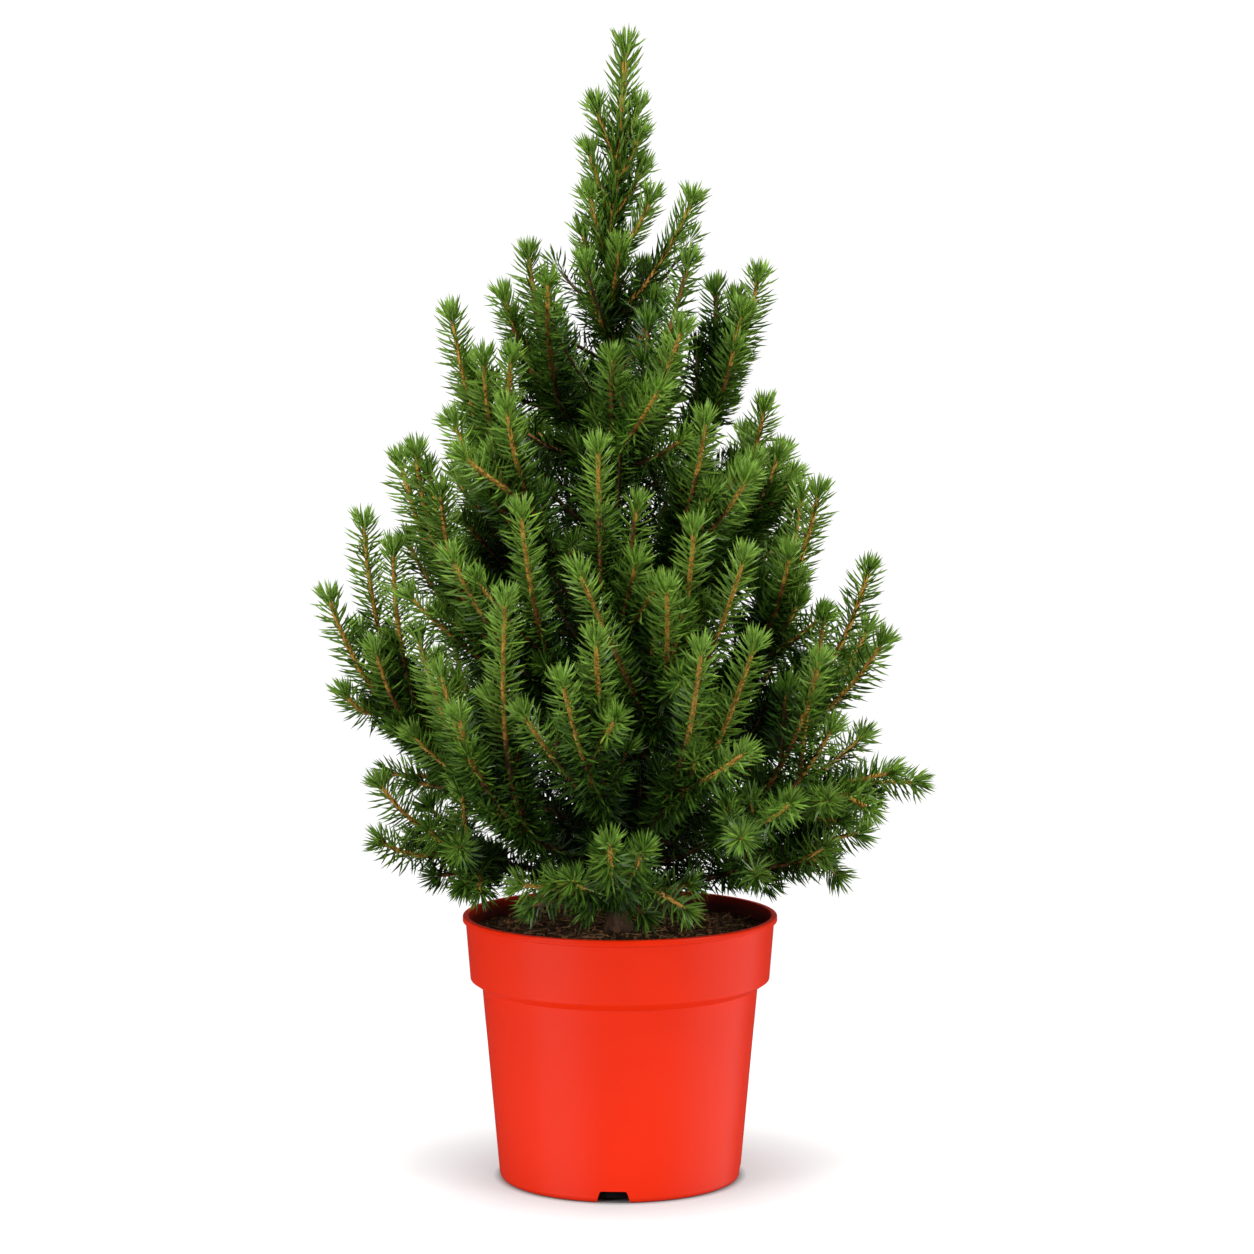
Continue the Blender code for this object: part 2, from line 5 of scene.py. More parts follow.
import bpy
import numpy as np
from mathutils.bvhtree import BVHTree
from mathutils.kdtree import KDTree
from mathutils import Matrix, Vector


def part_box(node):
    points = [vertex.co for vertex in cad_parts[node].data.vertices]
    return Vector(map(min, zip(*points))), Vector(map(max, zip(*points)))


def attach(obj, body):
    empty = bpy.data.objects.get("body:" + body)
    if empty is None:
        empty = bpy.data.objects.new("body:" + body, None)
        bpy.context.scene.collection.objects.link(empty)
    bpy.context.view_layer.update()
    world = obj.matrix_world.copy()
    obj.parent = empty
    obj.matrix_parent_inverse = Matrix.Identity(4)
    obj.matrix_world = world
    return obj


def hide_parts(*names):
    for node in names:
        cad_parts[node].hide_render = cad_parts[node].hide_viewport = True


# A young dwarf spruce in its nursery pot. Metres, +Z up, -Y is the front of the plant.
# The pot, compost, trunk and boughs follow the frame. Each foliage mass of the frame is replaced by
# shoots that branch by a seeded rule and by the needles that grow on them.

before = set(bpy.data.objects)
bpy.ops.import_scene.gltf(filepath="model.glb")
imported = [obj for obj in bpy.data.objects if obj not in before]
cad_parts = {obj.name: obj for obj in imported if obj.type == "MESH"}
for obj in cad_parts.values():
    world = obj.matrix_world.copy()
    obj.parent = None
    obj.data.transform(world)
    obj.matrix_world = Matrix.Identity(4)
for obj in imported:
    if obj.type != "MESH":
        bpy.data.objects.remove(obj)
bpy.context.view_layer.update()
goldenAngle = math.pi * (3 - math.sqrt(5))
print("frame loaded,", len(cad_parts), "nodes")


def toLinear(code):
    channels = [int(code[i:i + 2], 16) / 255 for i in (1, 3, 5)]
    return [c / 12.92 if c <= 0.04045 else ((c + 0.055) / 1.055) ** 2.4 for c in channels] + [1.0]


def feed(tree, node, links):
    for name, source in links.items():
        tree.links.new(source, node.inputs[name])


def addNode(tree, kind, props={}, values={}, links={}):
    node = tree.nodes.new("ShaderNode" + kind)
    for name, value in props.items():
        setattr(node, name, value)
    for name, value in values.items():
        node.inputs[name].default_value = value
    feed(tree, node, links)
    return node


def startMaterial(name, values):
    material = bpy.data.materials.new(name)
    material.use_nodes = True
    shader = material.node_tree.nodes["Principled BSDF"]
    for socket, value in values.items():
        shader.inputs[socket].default_value = value
    return material, material.node_tree, shader


def deselectAll():
    if bpy.context.mode != "OBJECT":
        bpy.ops.object.mode_set(mode="OBJECT")
    bpy.ops.object.select_all(action="DESELECT")


def pick(piece):
    deselectAll()
    piece.select_set(True)
    bpy.context.view_layer.objects.active = piece


def newest():
    return bpy.context.view_layer.objects.active


@contextmanager
def editingAll():
    # edit mode with the whole mesh selected
    bpy.ops.object.mode_set(mode="EDIT")
    bpy.ops.mesh.select_all(action="SELECT")
    yield
    bpy.ops.object.mode_set(mode="OBJECT")


def applyModifier(piece, name, kind, **settings):
    modifier = piece.modifiers.new(name, kind)
    for key, value in settings.items():
        setattr(modifier, key, value)
    pick(piece)
    bpy.ops.object.modifier_apply(modifier=name)


def cleanMesh(piece, smoothAngle=None):
    pick(piece)
    with editingAll():
        bpy.ops.mesh.remove_doubles(threshold=0.000005)
        bpy.ops.mesh.normals_make_consistent(inside=False)
    if smoothAngle:
        bpy.ops.object.shade_smooth_by_angle(angle=math.radians(smoothAngle))


def finishPiece(piece, materials, slotName, *nodes):
    tones = [polygon.material_index for polygon in piece.data.polygons]
    piece.data.materials.clear()        # this sends every face back to the first material
    for material in materials:
        piece.data.materials.append(material)
    piece.data.polygons.foreach_set("material_index", tones)
    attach(piece, "root")
    if nodes:
        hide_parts(*nodes)


def roughen(piece, name, kind, size, height, **settings):
    # relief from a texture, grains of one size standing half out and half in
    texture = bpy.data.textures.new(name, kind)
    texture.noise_scale = size
    applyModifier(piece, name, "DISPLACE", texture=texture, strength=height, mid_level=0.5, **settings)


def modelledShape(piece):
    # the corners and triangles of a small shape, for copying; the shape itself is removed
    pick(piece)
    with editingAll():
        bpy.ops.mesh.normals_make_consistent(inside=False)
        bpy.ops.mesh.quads_convert_to_tris()
    corners = np.array([v.co for v in piece.data.vertices])
    triangles = np.array([p.vertices for p in piece.data.polygons])
    bpy.data.objects.remove(piece)
    return corners, triangles


def joinCopies(name, shape, places, axes, tones):
    # one mesh of many copies; axes holds each copy's own x, y and z, which carry its size
    corners, triangles = shape
    count = len(places)
    points = places[:, None, :] + np.einsum("ck,nkd->ncd", corners, axes)
    faces = triangles[None] + len(corners) * np.arange(count)[:, None, None]
    mesh = bpy.data.meshes.new(name)
    mesh.from_pydata(points.reshape(-1, 3), [], faces.reshape(-1, 3))
    mesh.polygons.foreach_set("material_index", np.repeat(tones, len(triangles)).astype(np.int32))
    mesh.update()
    piece = bpy.data.objects.new(name, mesh)
    bpy.context.scene.collection.objects.link(piece)
    return piece


def tubes(name, runs, bevelResolution):
    # closed round tubes along (points, radii, tone) runs, joined as one mesh
    curve = bpy.data.curves.new(name, "CURVE")
    curve.dimensions = "3D"
    curve.bevel_depth = 1.0     # so a point's radius is in metres
    curve.bevel_resolution = bevelResolution
    curve.use_fill_caps = True
    for tone in range(max(run[2] for run in runs) + 1):     # slots, which a run needs to keep its tone
        curve.materials.append(bpy.data.materials.new(f"{name}Slot{tone}"))
    for points, radii, tone in runs:
        spline = curve.splines.new("POLY")
        spline.points.add(len(points) - 1)
        spline.points.foreach_set("co", np.column_stack([points, np.ones(len(points))]).ravel())
        spline.points.foreach_set("radius", np.asarray(radii, dtype=float))
        spline.material_index = tone
    piece = bpy.data.objects.new(name, curve)
    bpy.context.scene.collection.objects.link(piece)
    pick(piece)
    bpy.ops.object.convert(target="MESH")
    piece = newest()
    cleanMesh(piece, 60)
    return piece


needleTones = {        # from this season's tufts to the darkest green, dealt out as painted shade deep in the crown
    "budGreen": "#8CB446",
    "freshGreen": "#779B38",
    "midGreen": "#5F8629",
    "deepGreen": "#3C6018",
    "shadeGreen": "#1C3609",
}
barks = {              # light and dark colour, and the finish: this year's shoots, last year's, old wood, whose darker barks also paint shade on sheltered shoots
    "honeyShoot": ("#D29A3E", "#A86E26", "shoot"),
    "russetShoot": ("#965A22", "#5E3412", "shoot"),
    "oldShoot": ("#5E3A20", "#33200F", "shoot"),
    "spruceTrunkBark": ("#684A31", "#2C1D12", "trunk"),
    "dryFibre": ("#A9825A", "#5F3F25", "fibre"),
}
peats = {              # dark and light colour, and grain in metres
    "milledPeat": ("#22180E", "#7C5A38", 0.0030),
    "dampPeatCrumb": ("#1E140A", "#5A3E26", 0.0015),
    "dryPeatCrumb": ("#4A3420", "#A07C54", 0.0015),
    "barkChip": ("#6A4424", "#B08050", 0.0015),
}
needleFinish = {
    "shade": 0.62,             # a blotch's colour, as a share of the needle's own
    "blotchSize": 0.0045,
    "blotchEdges": (0.34, 0.60),
}
barkFinish = {                 # grain in metres, roughness, depth of the relief
    "shoot": (0.0022, 0.55, 0.0003),
    "trunk": (0.0040, 0.85, 0.0006),
    "fibre": (0.003, 0.8, 0.0001),
    "flakeEdges": (0.36, 0.62),
    "along": 0.45,             # flakes are longer upwards by this
}
plastic = {
    "codes": ("#E32602", "#E92C04"),
    "driftSize": 0.060,        # from one of the two reds to the other
    "grainSize": 0.0007,       # mould grain, drawn at 0.7 mm so it shows
    "grainDepth": 0.0001,
    "rubbed": (0.32, 0.42),    # roughness
    # painted shade on the pot's inner wall above the compost, in the colour of compost
    "wallShadeCode": "#24150C",
    "wallShadeRadius": 0.0821,      # the inner wall lies inside this
    "wallShadeFrom": 0.1285,
    "wallShadeHeights": (0.1375, 0.1425),
    "wallShadeShares": (0.90, 0.25),
}
peat = {
    "crumbEdges": (0.42, 0.72),
    "depth": 0.0008,
    # painted shade: the compost turns near black low down, where the drain notches show it
    "notchShadeHeights": (0.008, 0.030),
    "notchShadeCode": "#040302",
}


def fleckedColour(tree, shader, vector, noise, edges, codes, relief):
    # noise that goes from one colour to another between its two edges, and stands out as relief
    flecks = addNode(tree, "TexNoise", values=noise, links={"Vector": vector})
    ramp = addNode(tree, "ValToRGB", links={"Fac": flecks.outputs["Fac"]})
    for stop, edge, code in zip(ramp.color_ramp.elements, edges, codes):
        stop.position, stop.color = edge, toLinear(code)
    bump = addNode(tree, "Bump", values=relief, links={"Height": flecks.outputs["Fac"]})
    feed(tree, shader, {"Normal": bump.outputs["Normal"]})
    return ramp.outputs["Color"]


def spruceNeedle(name, code):
    # Living spruce needle with a wax bloom: satin, with a cool thin highlight along each edge.
    shade, tint = [c * needleFinish["shade"] for c in toLinear(code)[:3]] + [1.0], toLinear(code)
    material, tree, shader = startMaterial(name, {
        "Roughness": 0.38, "IOR": 1.45, "Specular IOR Level": 0.35})
    place = addNode(tree, "TexCoord").outputs["Object"]
    blotch = addNode(tree, "TexNoise", values={"Scale": 1 / needleFinish["blotchSize"], "Detail": 2.0},
                     links={"Vector": place})
    low, high = needleFinish["blotchEdges"]
    spread = addNode(tree, "MapRange", values={"From Min": low, "From Max": high},
                     links={"Value": blotch.outputs["Fac"]})
    colour = addNode(tree, "Mix", {"data_type": "RGBA"}, {6: shade, 7: tint}, {0: spread.outputs["Result"]})
    feed(tree, shader, {"Base Color": colour.outputs[2]})
    return material


def barkMaterial(name):
    # Spruce bark, grown: short pale and dark flakes, dry on old wood and a little waxy on new shoots.
    light, dark, kind = barks[name]
    grain, roughness, depth = barkFinish[kind]
    material, tree, shader = startMaterial(name, {"Roughness": roughness, "IOR": 1.45})
    place = addNode(tree, "TexCoord").outputs["Object"]
    stretched = addNode(tree, "Mapping", values={"Scale": (1.0, 1.0, barkFinish["along"])},
                        links={"Vector": place})
    colour = fleckedColour(tree, shader, stretched.outputs["Vector"],
                           {"Scale": 1 / grain, "Detail": 5.0, "Roughness": 0.65},
                           barkFinish["flakeEdges"], (dark, light), {"Strength": 0.6, "Distance": depth})
    feed(tree, shader, {"Base Color": colour})
    return material


def paintedWallShade(tree, place):
    # painted shade on the pot's inner wall, in the colour of compost: nowhere outside it, and fainter by the
    # lip
    axes = addNode(tree, "SeparateXYZ", links={"Vector": place})
    level = addNode(tree, "VectorMath", {"operation": "MULTIPLY"}, {1: (1, 1, 0)}, {0: place})
    reach = addNode(tree, "VectorMath", {"operation": "LENGTH"}, links={0: level.outputs["Vector"]})
    inside = addNode(tree, "Math", {"operation": "LESS_THAN"}, {1: plastic["wallShadeRadius"]},
                     {0: reach.outputs["Value"]})
    above = addNode(tree, "Math", {"operation": "GREATER_THAN"}, {1: plastic["wallShadeFrom"]},
                    {0: axes.outputs["Z"]})
    onWall = addNode(tree, "Math", {"operation": "MULTIPLY"},
                     links={0: inside.outputs["Value"], 1: above.outputs["Value"]})
    (low, high), (darkest, faintest) = plastic["wallShadeHeights"], plastic["wallShadeShares"]
    shadeFading = addNode(tree, "MapRange", links={"Value": axes.outputs["Z"]},
                       values={"From Min": low, "From Max": high, "To Min": darkest, "To Max": faintest})
    wallShade = addNode(tree, "Math", {"operation": "MULTIPLY"},
                   links={0: onWall.outputs["Value"], 1: shadeFading.outputs["Result"]})
    return wallShade.outputs["Value"]


def pottedPlastic():
    # Injection-moulded polypropylene: satin, faintly grained by its mould, and a little see-through at
    # its thin lip, which is what makes the rim glow.
    material, tree, shader = startMaterial("mouldedPolypropylene", {
        "IOR": 1.49, "Specular IOR Level": 0.14, "Subsurface Weight": 0.10, "Subsurface Scale": 0.002,
        "Subsurface Radius": (1.0, 0.25, 0.12)})
    place = addNode(tree, "TexCoord").outputs["Object"]
    drift = addNode(tree, "TexNoise", values={"Scale": 1 / plastic["driftSize"], "Detail": 2.0},
                    links={"Vector": place})
    reds = addNode(tree, "Mix", {"data_type": "RGBA"},
                   {i: toLinear(code) for i, code in zip((6, 7), plastic["codes"])},
                   {0: drift.outputs["Fac"]})
    # the reds, under the painted shade on the inner wall
    colour = addNode(tree, "Mix", {"data_type": "RGBA"}, {7: toLinear(plastic["wallShadeCode"])},
                     {0: paintedWallShade(tree, place), 6: reds.outputs[2]})
    grain = addNode(tree, "TexNoise", values={"Scale": 1 / plastic["grainSize"], "Detail": 3.0},
                    links={"Vector": place})
    relief = addNode(tree, "Bump", values={"Strength": 0.12, "Distance": plastic["grainDepth"]},
                     links={"Height": grain.outputs["Fac"]})
    smooth, rough = plastic["rubbed"]
    rub = addNode(tree, "MapRange", values={"To Min": smooth, "To Max": rough},
                  links={"Value": grain.outputs["Fac"]})
    feed(tree, shader, {"Base Color": colour.outputs[2], "Roughness": rub.outputs["Result"],
                        "Normal": relief.outputs["Normal"]})
    return material


def peatMaterial(name):
    # Milled peat compost: matt, painted near black low down as the shade in the drain notches, with dry
    # brown fibres.
    dark, light, grain = peats[name]
    material, tree, shader = startMaterial(name, {"Roughness": 0.92, "IOR": 1.4, "Specular IOR Level": 0.3})
    place = addNode(tree, "TexCoord").outputs["Object"]
    crumbs = fleckedColour(tree, shader, place, {"Scale": 1 / grain, "Detail": 6.0, "Roughness": 0.7},
                           peat["crumbEdges"], (dark, light), {"Strength": 0.8, "Distance": peat["depth"]})
    height = addNode(tree, "SeparateXYZ", links={"Vector": place})
    low, high = peat["notchShadeHeights"]       # painted shade: near black low down, by the drain notches
    notchShade = addNode(tree, "MapRange", values={"From Min": low, "From Max": high},
                     links={"Value": height.outputs["Z"]})
    colour = addNode(tree, "Mix", {"data_type": "RGBA"}, {6: toLinear(peat["notchShadeCode"])},
                     {0: notchShade.outputs["Result"], 7: crumbs})
    feed(tree, shader, {"Base Color": colour.outputs[2]})
    return material


needleMaterials = [spruceNeedle(name, code) for name, code in needleTones.items()]
shootMaterials = [barkMaterial(name) for name in ("honeyShoot", "russetShoot", "oldShoot")]
trunkMaterial = barkMaterial("spruceTrunkBark")
print("finishes ready")


def sectionsOfTrunk():
    # the trunk's axis and radius, read off the frame's level sections
    corners = np.array([v.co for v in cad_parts["trunk"].data.vertices])
    heights = sorted(set(np.round(corners[:, 2], 5)))
    axis, radii = [], []
    for height in heights:
        ring = np.unique(np.round(corners[abs(corners[:, 2] - height) < 1e-4], 6), axis=0)
        axis.append([*ring[:, :2].mean(axis=0), height])
        radii.append(np.linalg.norm(ring[:, :2] - axis[-1][:2], axis=1).mean())
    return np.array(axis), np.array(radii)


trunkAxis, trunkRadii = sectionsOfTrunk()
trunkTop = trunkAxis[-1][2]

crown = {
    # each bough: the height where it leaves the trunk, its leading shoot's tip, then the tips of its
    # forks, a tip being (azimuth in degrees from +X, reach from the pot's axis, height) and, for a
    # shoot that droops or sags on its way, how far it arches up
    "boughs": {
        "crown_front": (0.362, (266, 0.060, 0.448), (297, 0.075, 0.463), (330, 0.044, 0.500),
                        (284, 0.094, 0.431)),
        "crown_left": (0.385, (172, 0.050, 0.505), (186, 0.064, 0.483), (236, 0.066, 0.487)),
        "crown_right": (0.378, (0, 0.075, 0.493), (12, 0.052, 0.488), (338, 0.066, 0.455)),
        "left_high": (0.325, (180, 0.091, 0.474), (192, 0.074, 0.448), (160, 0.088, 0.445),
                      (222, 0.075, 0.449)),
        "front_left_high": (0.315, (234, 0.100, 0.424), (217, 0.110, 0.415), (225, 0.120, 0.397)),
        "right_high": (0.300, (350, 0.079, 0.424), (2, 0.087, 0.398), (10, 0.098, 0.384)),
        "front_right_high": (0.312, (299, 0.092, 0.418), (311, 0.105, 0.388), (328, 0.086, 0.395)),
        "left_mid": (0.262, (176, 0.120, 0.395), (195, 0.112, 0.400), (166, 0.122, 0.350),
                     (208, 0.106, 0.379)),
        "front_mid": (0.250, (263, 0.092, 0.406), (277, 0.080, 0.373), (276, 0.098, 0.347)),
        "front_left_mid": (0.235, (243, 0.112, 0.373), (228, 0.131, 0.347), (218, 0.141, 0.325)),
        "right_mid": (0.238, (345, 0.110, 0.380), (331, 0.102, 0.346), (4, 0.090, 0.350),
                      (0, 0.098, 0.376), (336, 0.105, 0.322)),
        "front_right_mid": (0.222, (290, 0.112, 0.365), (302, 0.122, 0.348), (281, 0.122, 0.333),
                            (258, 0.112, 0.341)),
        "left_low": (0.192, (182, 0.158, 0.322), (186, 0.151, 0.270, -0.015), (180, 0.138, 0.363),
                     (166, 0.148, 0.300), (189, 0.122, 0.349), (189, 0.133, 0.293)),
        "right_low": (0.205, (2, 0.136, 0.337), (350, 0.144, 0.297), (329, 0.124, 0.313),
                      (14, 0.142, 0.300)),
        "front_left_low": (0.172, (234, 0.141, 0.269), (244, 0.130, 0.330), (226, 0.133, 0.289),
                           (215, 0.129, 0.307), (205, 0.108, 0.290)),
        "front_low": (0.188, (265, 0.136, 0.310), (258, 0.142, 0.288), (270, 0.142, 0.267),
                      (246, 0.128, 0.270)),
        "front_right_low": (0.182, (287, 0.141, 0.305), (302, 0.132, 0.305), (297, 0.147, 0.249)),
        "skirt_front_right": (0.168, (317, 0.141, 0.296), (306, 0.150, 0.222), (294, 0.148, 0.203),
                              (324, 0.138, 0.258)),
        "skirt_right": (0.180, (350, 0.150, 0.224, 0.032), (10, 0.138, 0.241, 0.010),
                        (356, 0.165, 0.215, 0.012), (335, 0.148, 0.205, 0.015), (320, 0.141, 0.217)),
        "skirt_front": (0.158, (268, 0.140, 0.205), (249, 0.107, 0.178), (276, 0.131, 0.201),
                        (238, 0.108, 0.174), (295, 0.096, 0.154, 0.010), (253, 0.076, 0.152),
                        (284, 0.074, 0.147), (232, 0.086, 0.154, 0.006)),
        "skirt_left": (0.162, (190, 0.132, 0.221), (201, 0.138, 0.193, -0.012), (214, 0.098, 0.166, -0.006),
                       (196, 0.106, 0.168, -0.008), (203, 0.092, 0.157, 0.012), (211, 0.118, 0.201),
                       (226, 0.118, 0.193), (221, 0.095, 0.160, 0.010)),
        "skirt_low": (0.154, (336, 0.120, 0.182, 0.018), (312, 0.106, 0.174, 0.010),
                      (346, 0.124, 0.163, 0.030), (343, 0.138, 0.194, 0.015)),
    },
    # the far side: where each bough leaves the trunk, its sector, lowest and highest tip, and its shoots
    "farBoughs": {
        "back_high": (0.355, 60, 126, 0.405, 0.478, 5),
        "back_left_mid": (0.290, 104, 158, 0.335, 0.415, 6),
        "back_right_mid": (0.280, 24, 78, 0.330, 0.412, 6),
        "back_mid": (0.226, 74, 112, 0.255, 0.345, 5),
        "back_left_low": (0.182, 104, 164, 0.195, 0.290, 6),
        "back_right_low": (0.198, 20, 80, 0.200, 0.305, 6),
    },
    "sectorStep": 0.618,
    "heightPlay": 0.3,
    "reachPlay": (0.92, 1.04),
    "heights": (0.150, 0.200, 0.260, 0.320, 0.380, 0.430, 0.490),
    "reaches": (0.125, 0.148, 0.152, 0.145, 0.120, 0.100, 0.072),   # the crown's, at these heights
    "topHeights": (0.550, 0.610),
    "topReaches": (0.030, 0.012),
    # how a shoot bends on its way to its tip
    "steps": 41,
    "bend": 0.80,
    "lift": 0.12,
    "trimmed": 0.0035,         # a bud stands this far short of its tip above, which is its tuft's own
    "archedBelow": 0.028,      # a bough that climbs less than this arches up by what is missing
    "forkTurn": 30.0,
    "forkLateness": 45.0,
    "forkHug": 0.42,
    "forkStations": (0.15, 0.33, 0.55, 0.78),
    "bareLength": 0.026,       # a bough is bare for this far and for this share of its way
    "bareShare": 0.24,
    "leastApart": 0.0070,
    "sharedRootSteps": 10,
    "turnsAside": (0, 3, -3, 6, -6, 9, -9, 12, -12, 16, -16),
}

leader = {
    "start": 0.4250,
    "above": 0.0045,           # its bud stands this far over the trunk's wood
    "shoots": (
        (180, 0.0150, 0.578), (0, 0.0120, 0.577), (350, 0.0130, 0.563), (188, 0.0195, 0.554),
        (8, 0.0150, 0.546), (201, 0.0205, 0.531), (338, 0.0215, 0.529), (100, 0.0200, 0.535),
        (172, 0.0240, 0.512), (270, 0.0190, 0.503), (212, 0.0260, 0.494), (8, 0.0465, 0.529),
        (62, 0.0330, 0.492), (328, 0.0270, 0.475),
    ),
    "closer": 0.86,            # all of them are drawn in by this
    "slope": 1.4,
    "rise": 0.012,
    "lowest": 0.004,
    "bend": 0.62,
    "lift": 0.38,
}


def tipAt(azimuth, reach, height, arch=0.0):
    # where a tip stands; its arch belongs to the way there
    angle = math.radians(azimuth)
    return np.array([math.cos(angle) * reach, math.sin(angle) * reach, height])


def trunkAt(height):
    return np.array([np.interp(height, trunkAxis[:, 2], trunkAxis[:, i]) for i in range(3)])


def bezier(start, middle, end, steps=crown["steps"]):
    t = np.linspace(0, 1, steps)[:, None]
    return (1 - t) ** 2 * start + 2 * t * (1 - t) * middle + t ** 2 * end


def bentCurve(root, run, bend, lift, arch=0.0, steps=crown["steps"]):
    # out from the root first and then up to the tip
    middle = root + run * np.array([bend, bend, lift]) + np.array([0, 0, arch])
    return bezier(root, middle, root + run, steps)


def pointOn(curve, share):
    place = share * (len(curve) - 1)
    step = min(int(place), len(curve) - 2)
    return curve[step] + (curve[step + 1] - curve[step]) * (place - step)


def directionOn(curve, share):
    step = min(int(share * (len(curve) - 1)), len(curve) - 2)
    heading = curve[step + 1] - curve[step]
    return heading / np.linalg.norm(heading)


def lengthOf(curve):
    return float(np.linalg.norm(np.diff(curve, axis=0), axis=1).sum())


def boughShare(curve):
    # how far along its leading shoot a bough runs bare
    return max(crown["bareLength"] / lengthOf(curve), crown["bareShare"])


def leadingCurve(rootHeight, tip):
    root = trunkAt(rootHeight)
    run = tipAt(*tip) - root
    arch = max(0.0, crown["archedBelow"] - run[2]) + sum(tip[3:])
    return bentCurve(root, run, crown["bend"], crown["lift"], arch)


def forkCurve(parent, tip):
    end = tipAt(*tip)

    def turnAt(share):
        way = end - pointOn(parent, share)
        cosine = way @ directionOn(parent, share) / np.linalg.norm(way)
        return math.degrees(math.acos(max(-1.0, min(1.0, cosine))))

    bare = boughShare(parent)
    shares = [bare + (1 - bare) * station for station in crown["forkStations"]]
    share = min(shares, key=lambda s: abs(turnAt(s) - crown["forkTurn"]) + crown["forkLateness"] * s)
    start = pointOn(parent, share)
    hug = directionOn(parent, share) * np.linalg.norm(end - start) * crown["forkHug"]
    turnUp = (end - start) * np.array([crown["bend"], crown["bend"], crown["lift"]])
    return bezier(start, start + (hug + turnUp) / 2 + np.array([0, 0, sum(tip[3:])]), end)


def limbsOf(shoots):
    # the masses that grow on a bough: all but the leader
    return {mass: curves for mass, curves in shoots.items() if mass != "leader"}


def pointsOfOthers(shoots, mass):
    others = [curve for name, group in shoots.items() if name != mass for curve in group]
    return np.concatenate(others) if others else np.empty((0, 3))


def clearCurve(make, tip, placed):
    # the curve to this tip, turned aside a little where it would run into a shoot that is placed
    azimuth, *others = tip
    best = None
    for aside in crown["turnsAside"]:
        curve = make((azimuth + aside, *others))
        gaps = curve[crown["sharedRootSteps"]:, None, :] - placed[None]
        apart = np.sqrt((gaps ** 2).sum(axis=2).min()) if len(placed) else 1.0
        if best is None or apart > best[0]:
            best = (apart, curve)
        if apart >= crown["leastApart"]:
            break
    return best[1]


def farTips(first, last, lowest, highest, count, seed):
    chance = random.Random(seed)
    tips = []
    for i in range(count):
        drop = (i + crown["heightPlay"] * chance.random()) / (count - 1 + crown["heightPlay"])
        height = highest - (highest - lowest) * drop
        azimuth = first + (last - first) * ((0.5 + i * crown["sectorStep"]) % 1.0)
        reach = np.interp(height, crown["heights"], crown["reaches"]) * chance.uniform(*crown["reachPlay"])
        tips.append((azimuth, float(reach), height))
    return tips


def growLeader():
    heights = np.linspace(leader["start"], trunkTop + leader["above"], crown["steps"])
    curves = [np.array([trunkAt(height) for height in heights])]
    curves[0][:, 2] = heights
    for azimuth, reach, height in leader["shoots"]:
        tip = (azimuth, reach * leader["closer"], height)
        rootHeight = tip[2] - leader["slope"] * tip[1] - leader["rise"]
        root = trunkAt(max(leader["start"] + leader["lowest"], rootHeight))
        curves.append(bentCurve(root, tipAt(*tip) - root, leader["bend"], leader["lift"]))
    return curves


def growShoots():
    # the shoots of every mass, as {mass: [curve, ...]} with the leading one first
    plan = {name: (root, tips) for name, (root, *tips) in crown["boughs"].items()}
    for seed, (name, (root, *sector)) in enumerate(crown["farBoughs"].items()):
        plan[name] = (root, farTips(*sector, seed=seed))
    shoots = {}
    for name, (root, tips) in plan.items():
        placed = pointsOfOthers(shoots, name)
        shoots[name] = [clearCurve(lambda tip: leadingCurve(root, tip), tips[0], placed)]
    for name, (root, tips) in plan.items():
        placed = pointsOfOthers(shoots, name)
        for tip in tips[1:]:
            shoots[name].append(clearCurve(lambda tip: forkCurve(shoots[name][0], tip), tip, placed))
    shoots["leader"] = growLeader()
    return shoots


branching = {
    "seed": 21,
    "sideEvery": 0.0125,       # between side twigs along a shoot
    "sideFrom": 0.08,
    "sideTo": 0.66,
    "sideLength": (0.018, 0.034),
    "sideAngle": (34, 52),
    "sideTurnUp": 0.30,
    "sideShorter": (1.15, 0.6),     # of that length: at its parent's start, and what it loses by the end
    "twigSteps": 15,
    "innerSteps": 21,
    "proud": 0.0005,           # how far a side twig's bud may stand out of the masses
    "fillers": 7,              # more shoots in each mass, between its forks
    "farFillers": 20,          # the same on the far side, whose masses stand further apart
    "fillerTries": 10,
    "fillerFrom": (0.15, 0.75),
    "fillerLength": (0.036, 0.060),
    "fillerAngle": (20, 40),
    "fillerProud": 0.0005,
    "farProud": 0.0140,        # the same on the far side, to close the gaps between its masses
    "farSide": 0.3,            # sine of the azimuth where that side starts, for shoots on the trunk
    "fillerReach": 0.90,       # of the crown's reach at its height
    "boughShoots": 4,          # short shoots along each bare bough
    "boughShootLength": (0.026, 0.046),
    "boughShootAngle": (40, 65),
    "boughShootFrom": (0.35, 0.6),  # the first one's place in the bare stretch, and the others' spread
    # short shoots up the trunk, inside the crown: from one to the next at these heights
    "trunkEvery": ((0.16, 0.0015), (0.30, 0.0024), (0.40, 0.0052)),
    "trunkFrom": 0.0200,
    "trunkTo": 0.4750,
    "trunkShootReach": (0.42, 0.86),
    "trunkShootSlope": (0.45, 1.15),
    "trunkShootBend": (0.6, 0.3),
    "shorter": 5,              # times that such a shoot is cut back to stay in the crown
    "shortening": 0.85,
    "innerProud": 0.0005,
    "innerReach": 0.78,
    "overRim": 0.008,          # every bud stands this far over the pot
}
thickness = {                  # radii in metres, from a shoot's start to its bud
    "lead": (0.0019, 0.0012),
    "fork": (0.0017, 0.0011),
    "filler": (0.0014, 0.0010),
    "side": (0.0010, 0.0008),
    "inner": (0.0011, 0.0007),
}


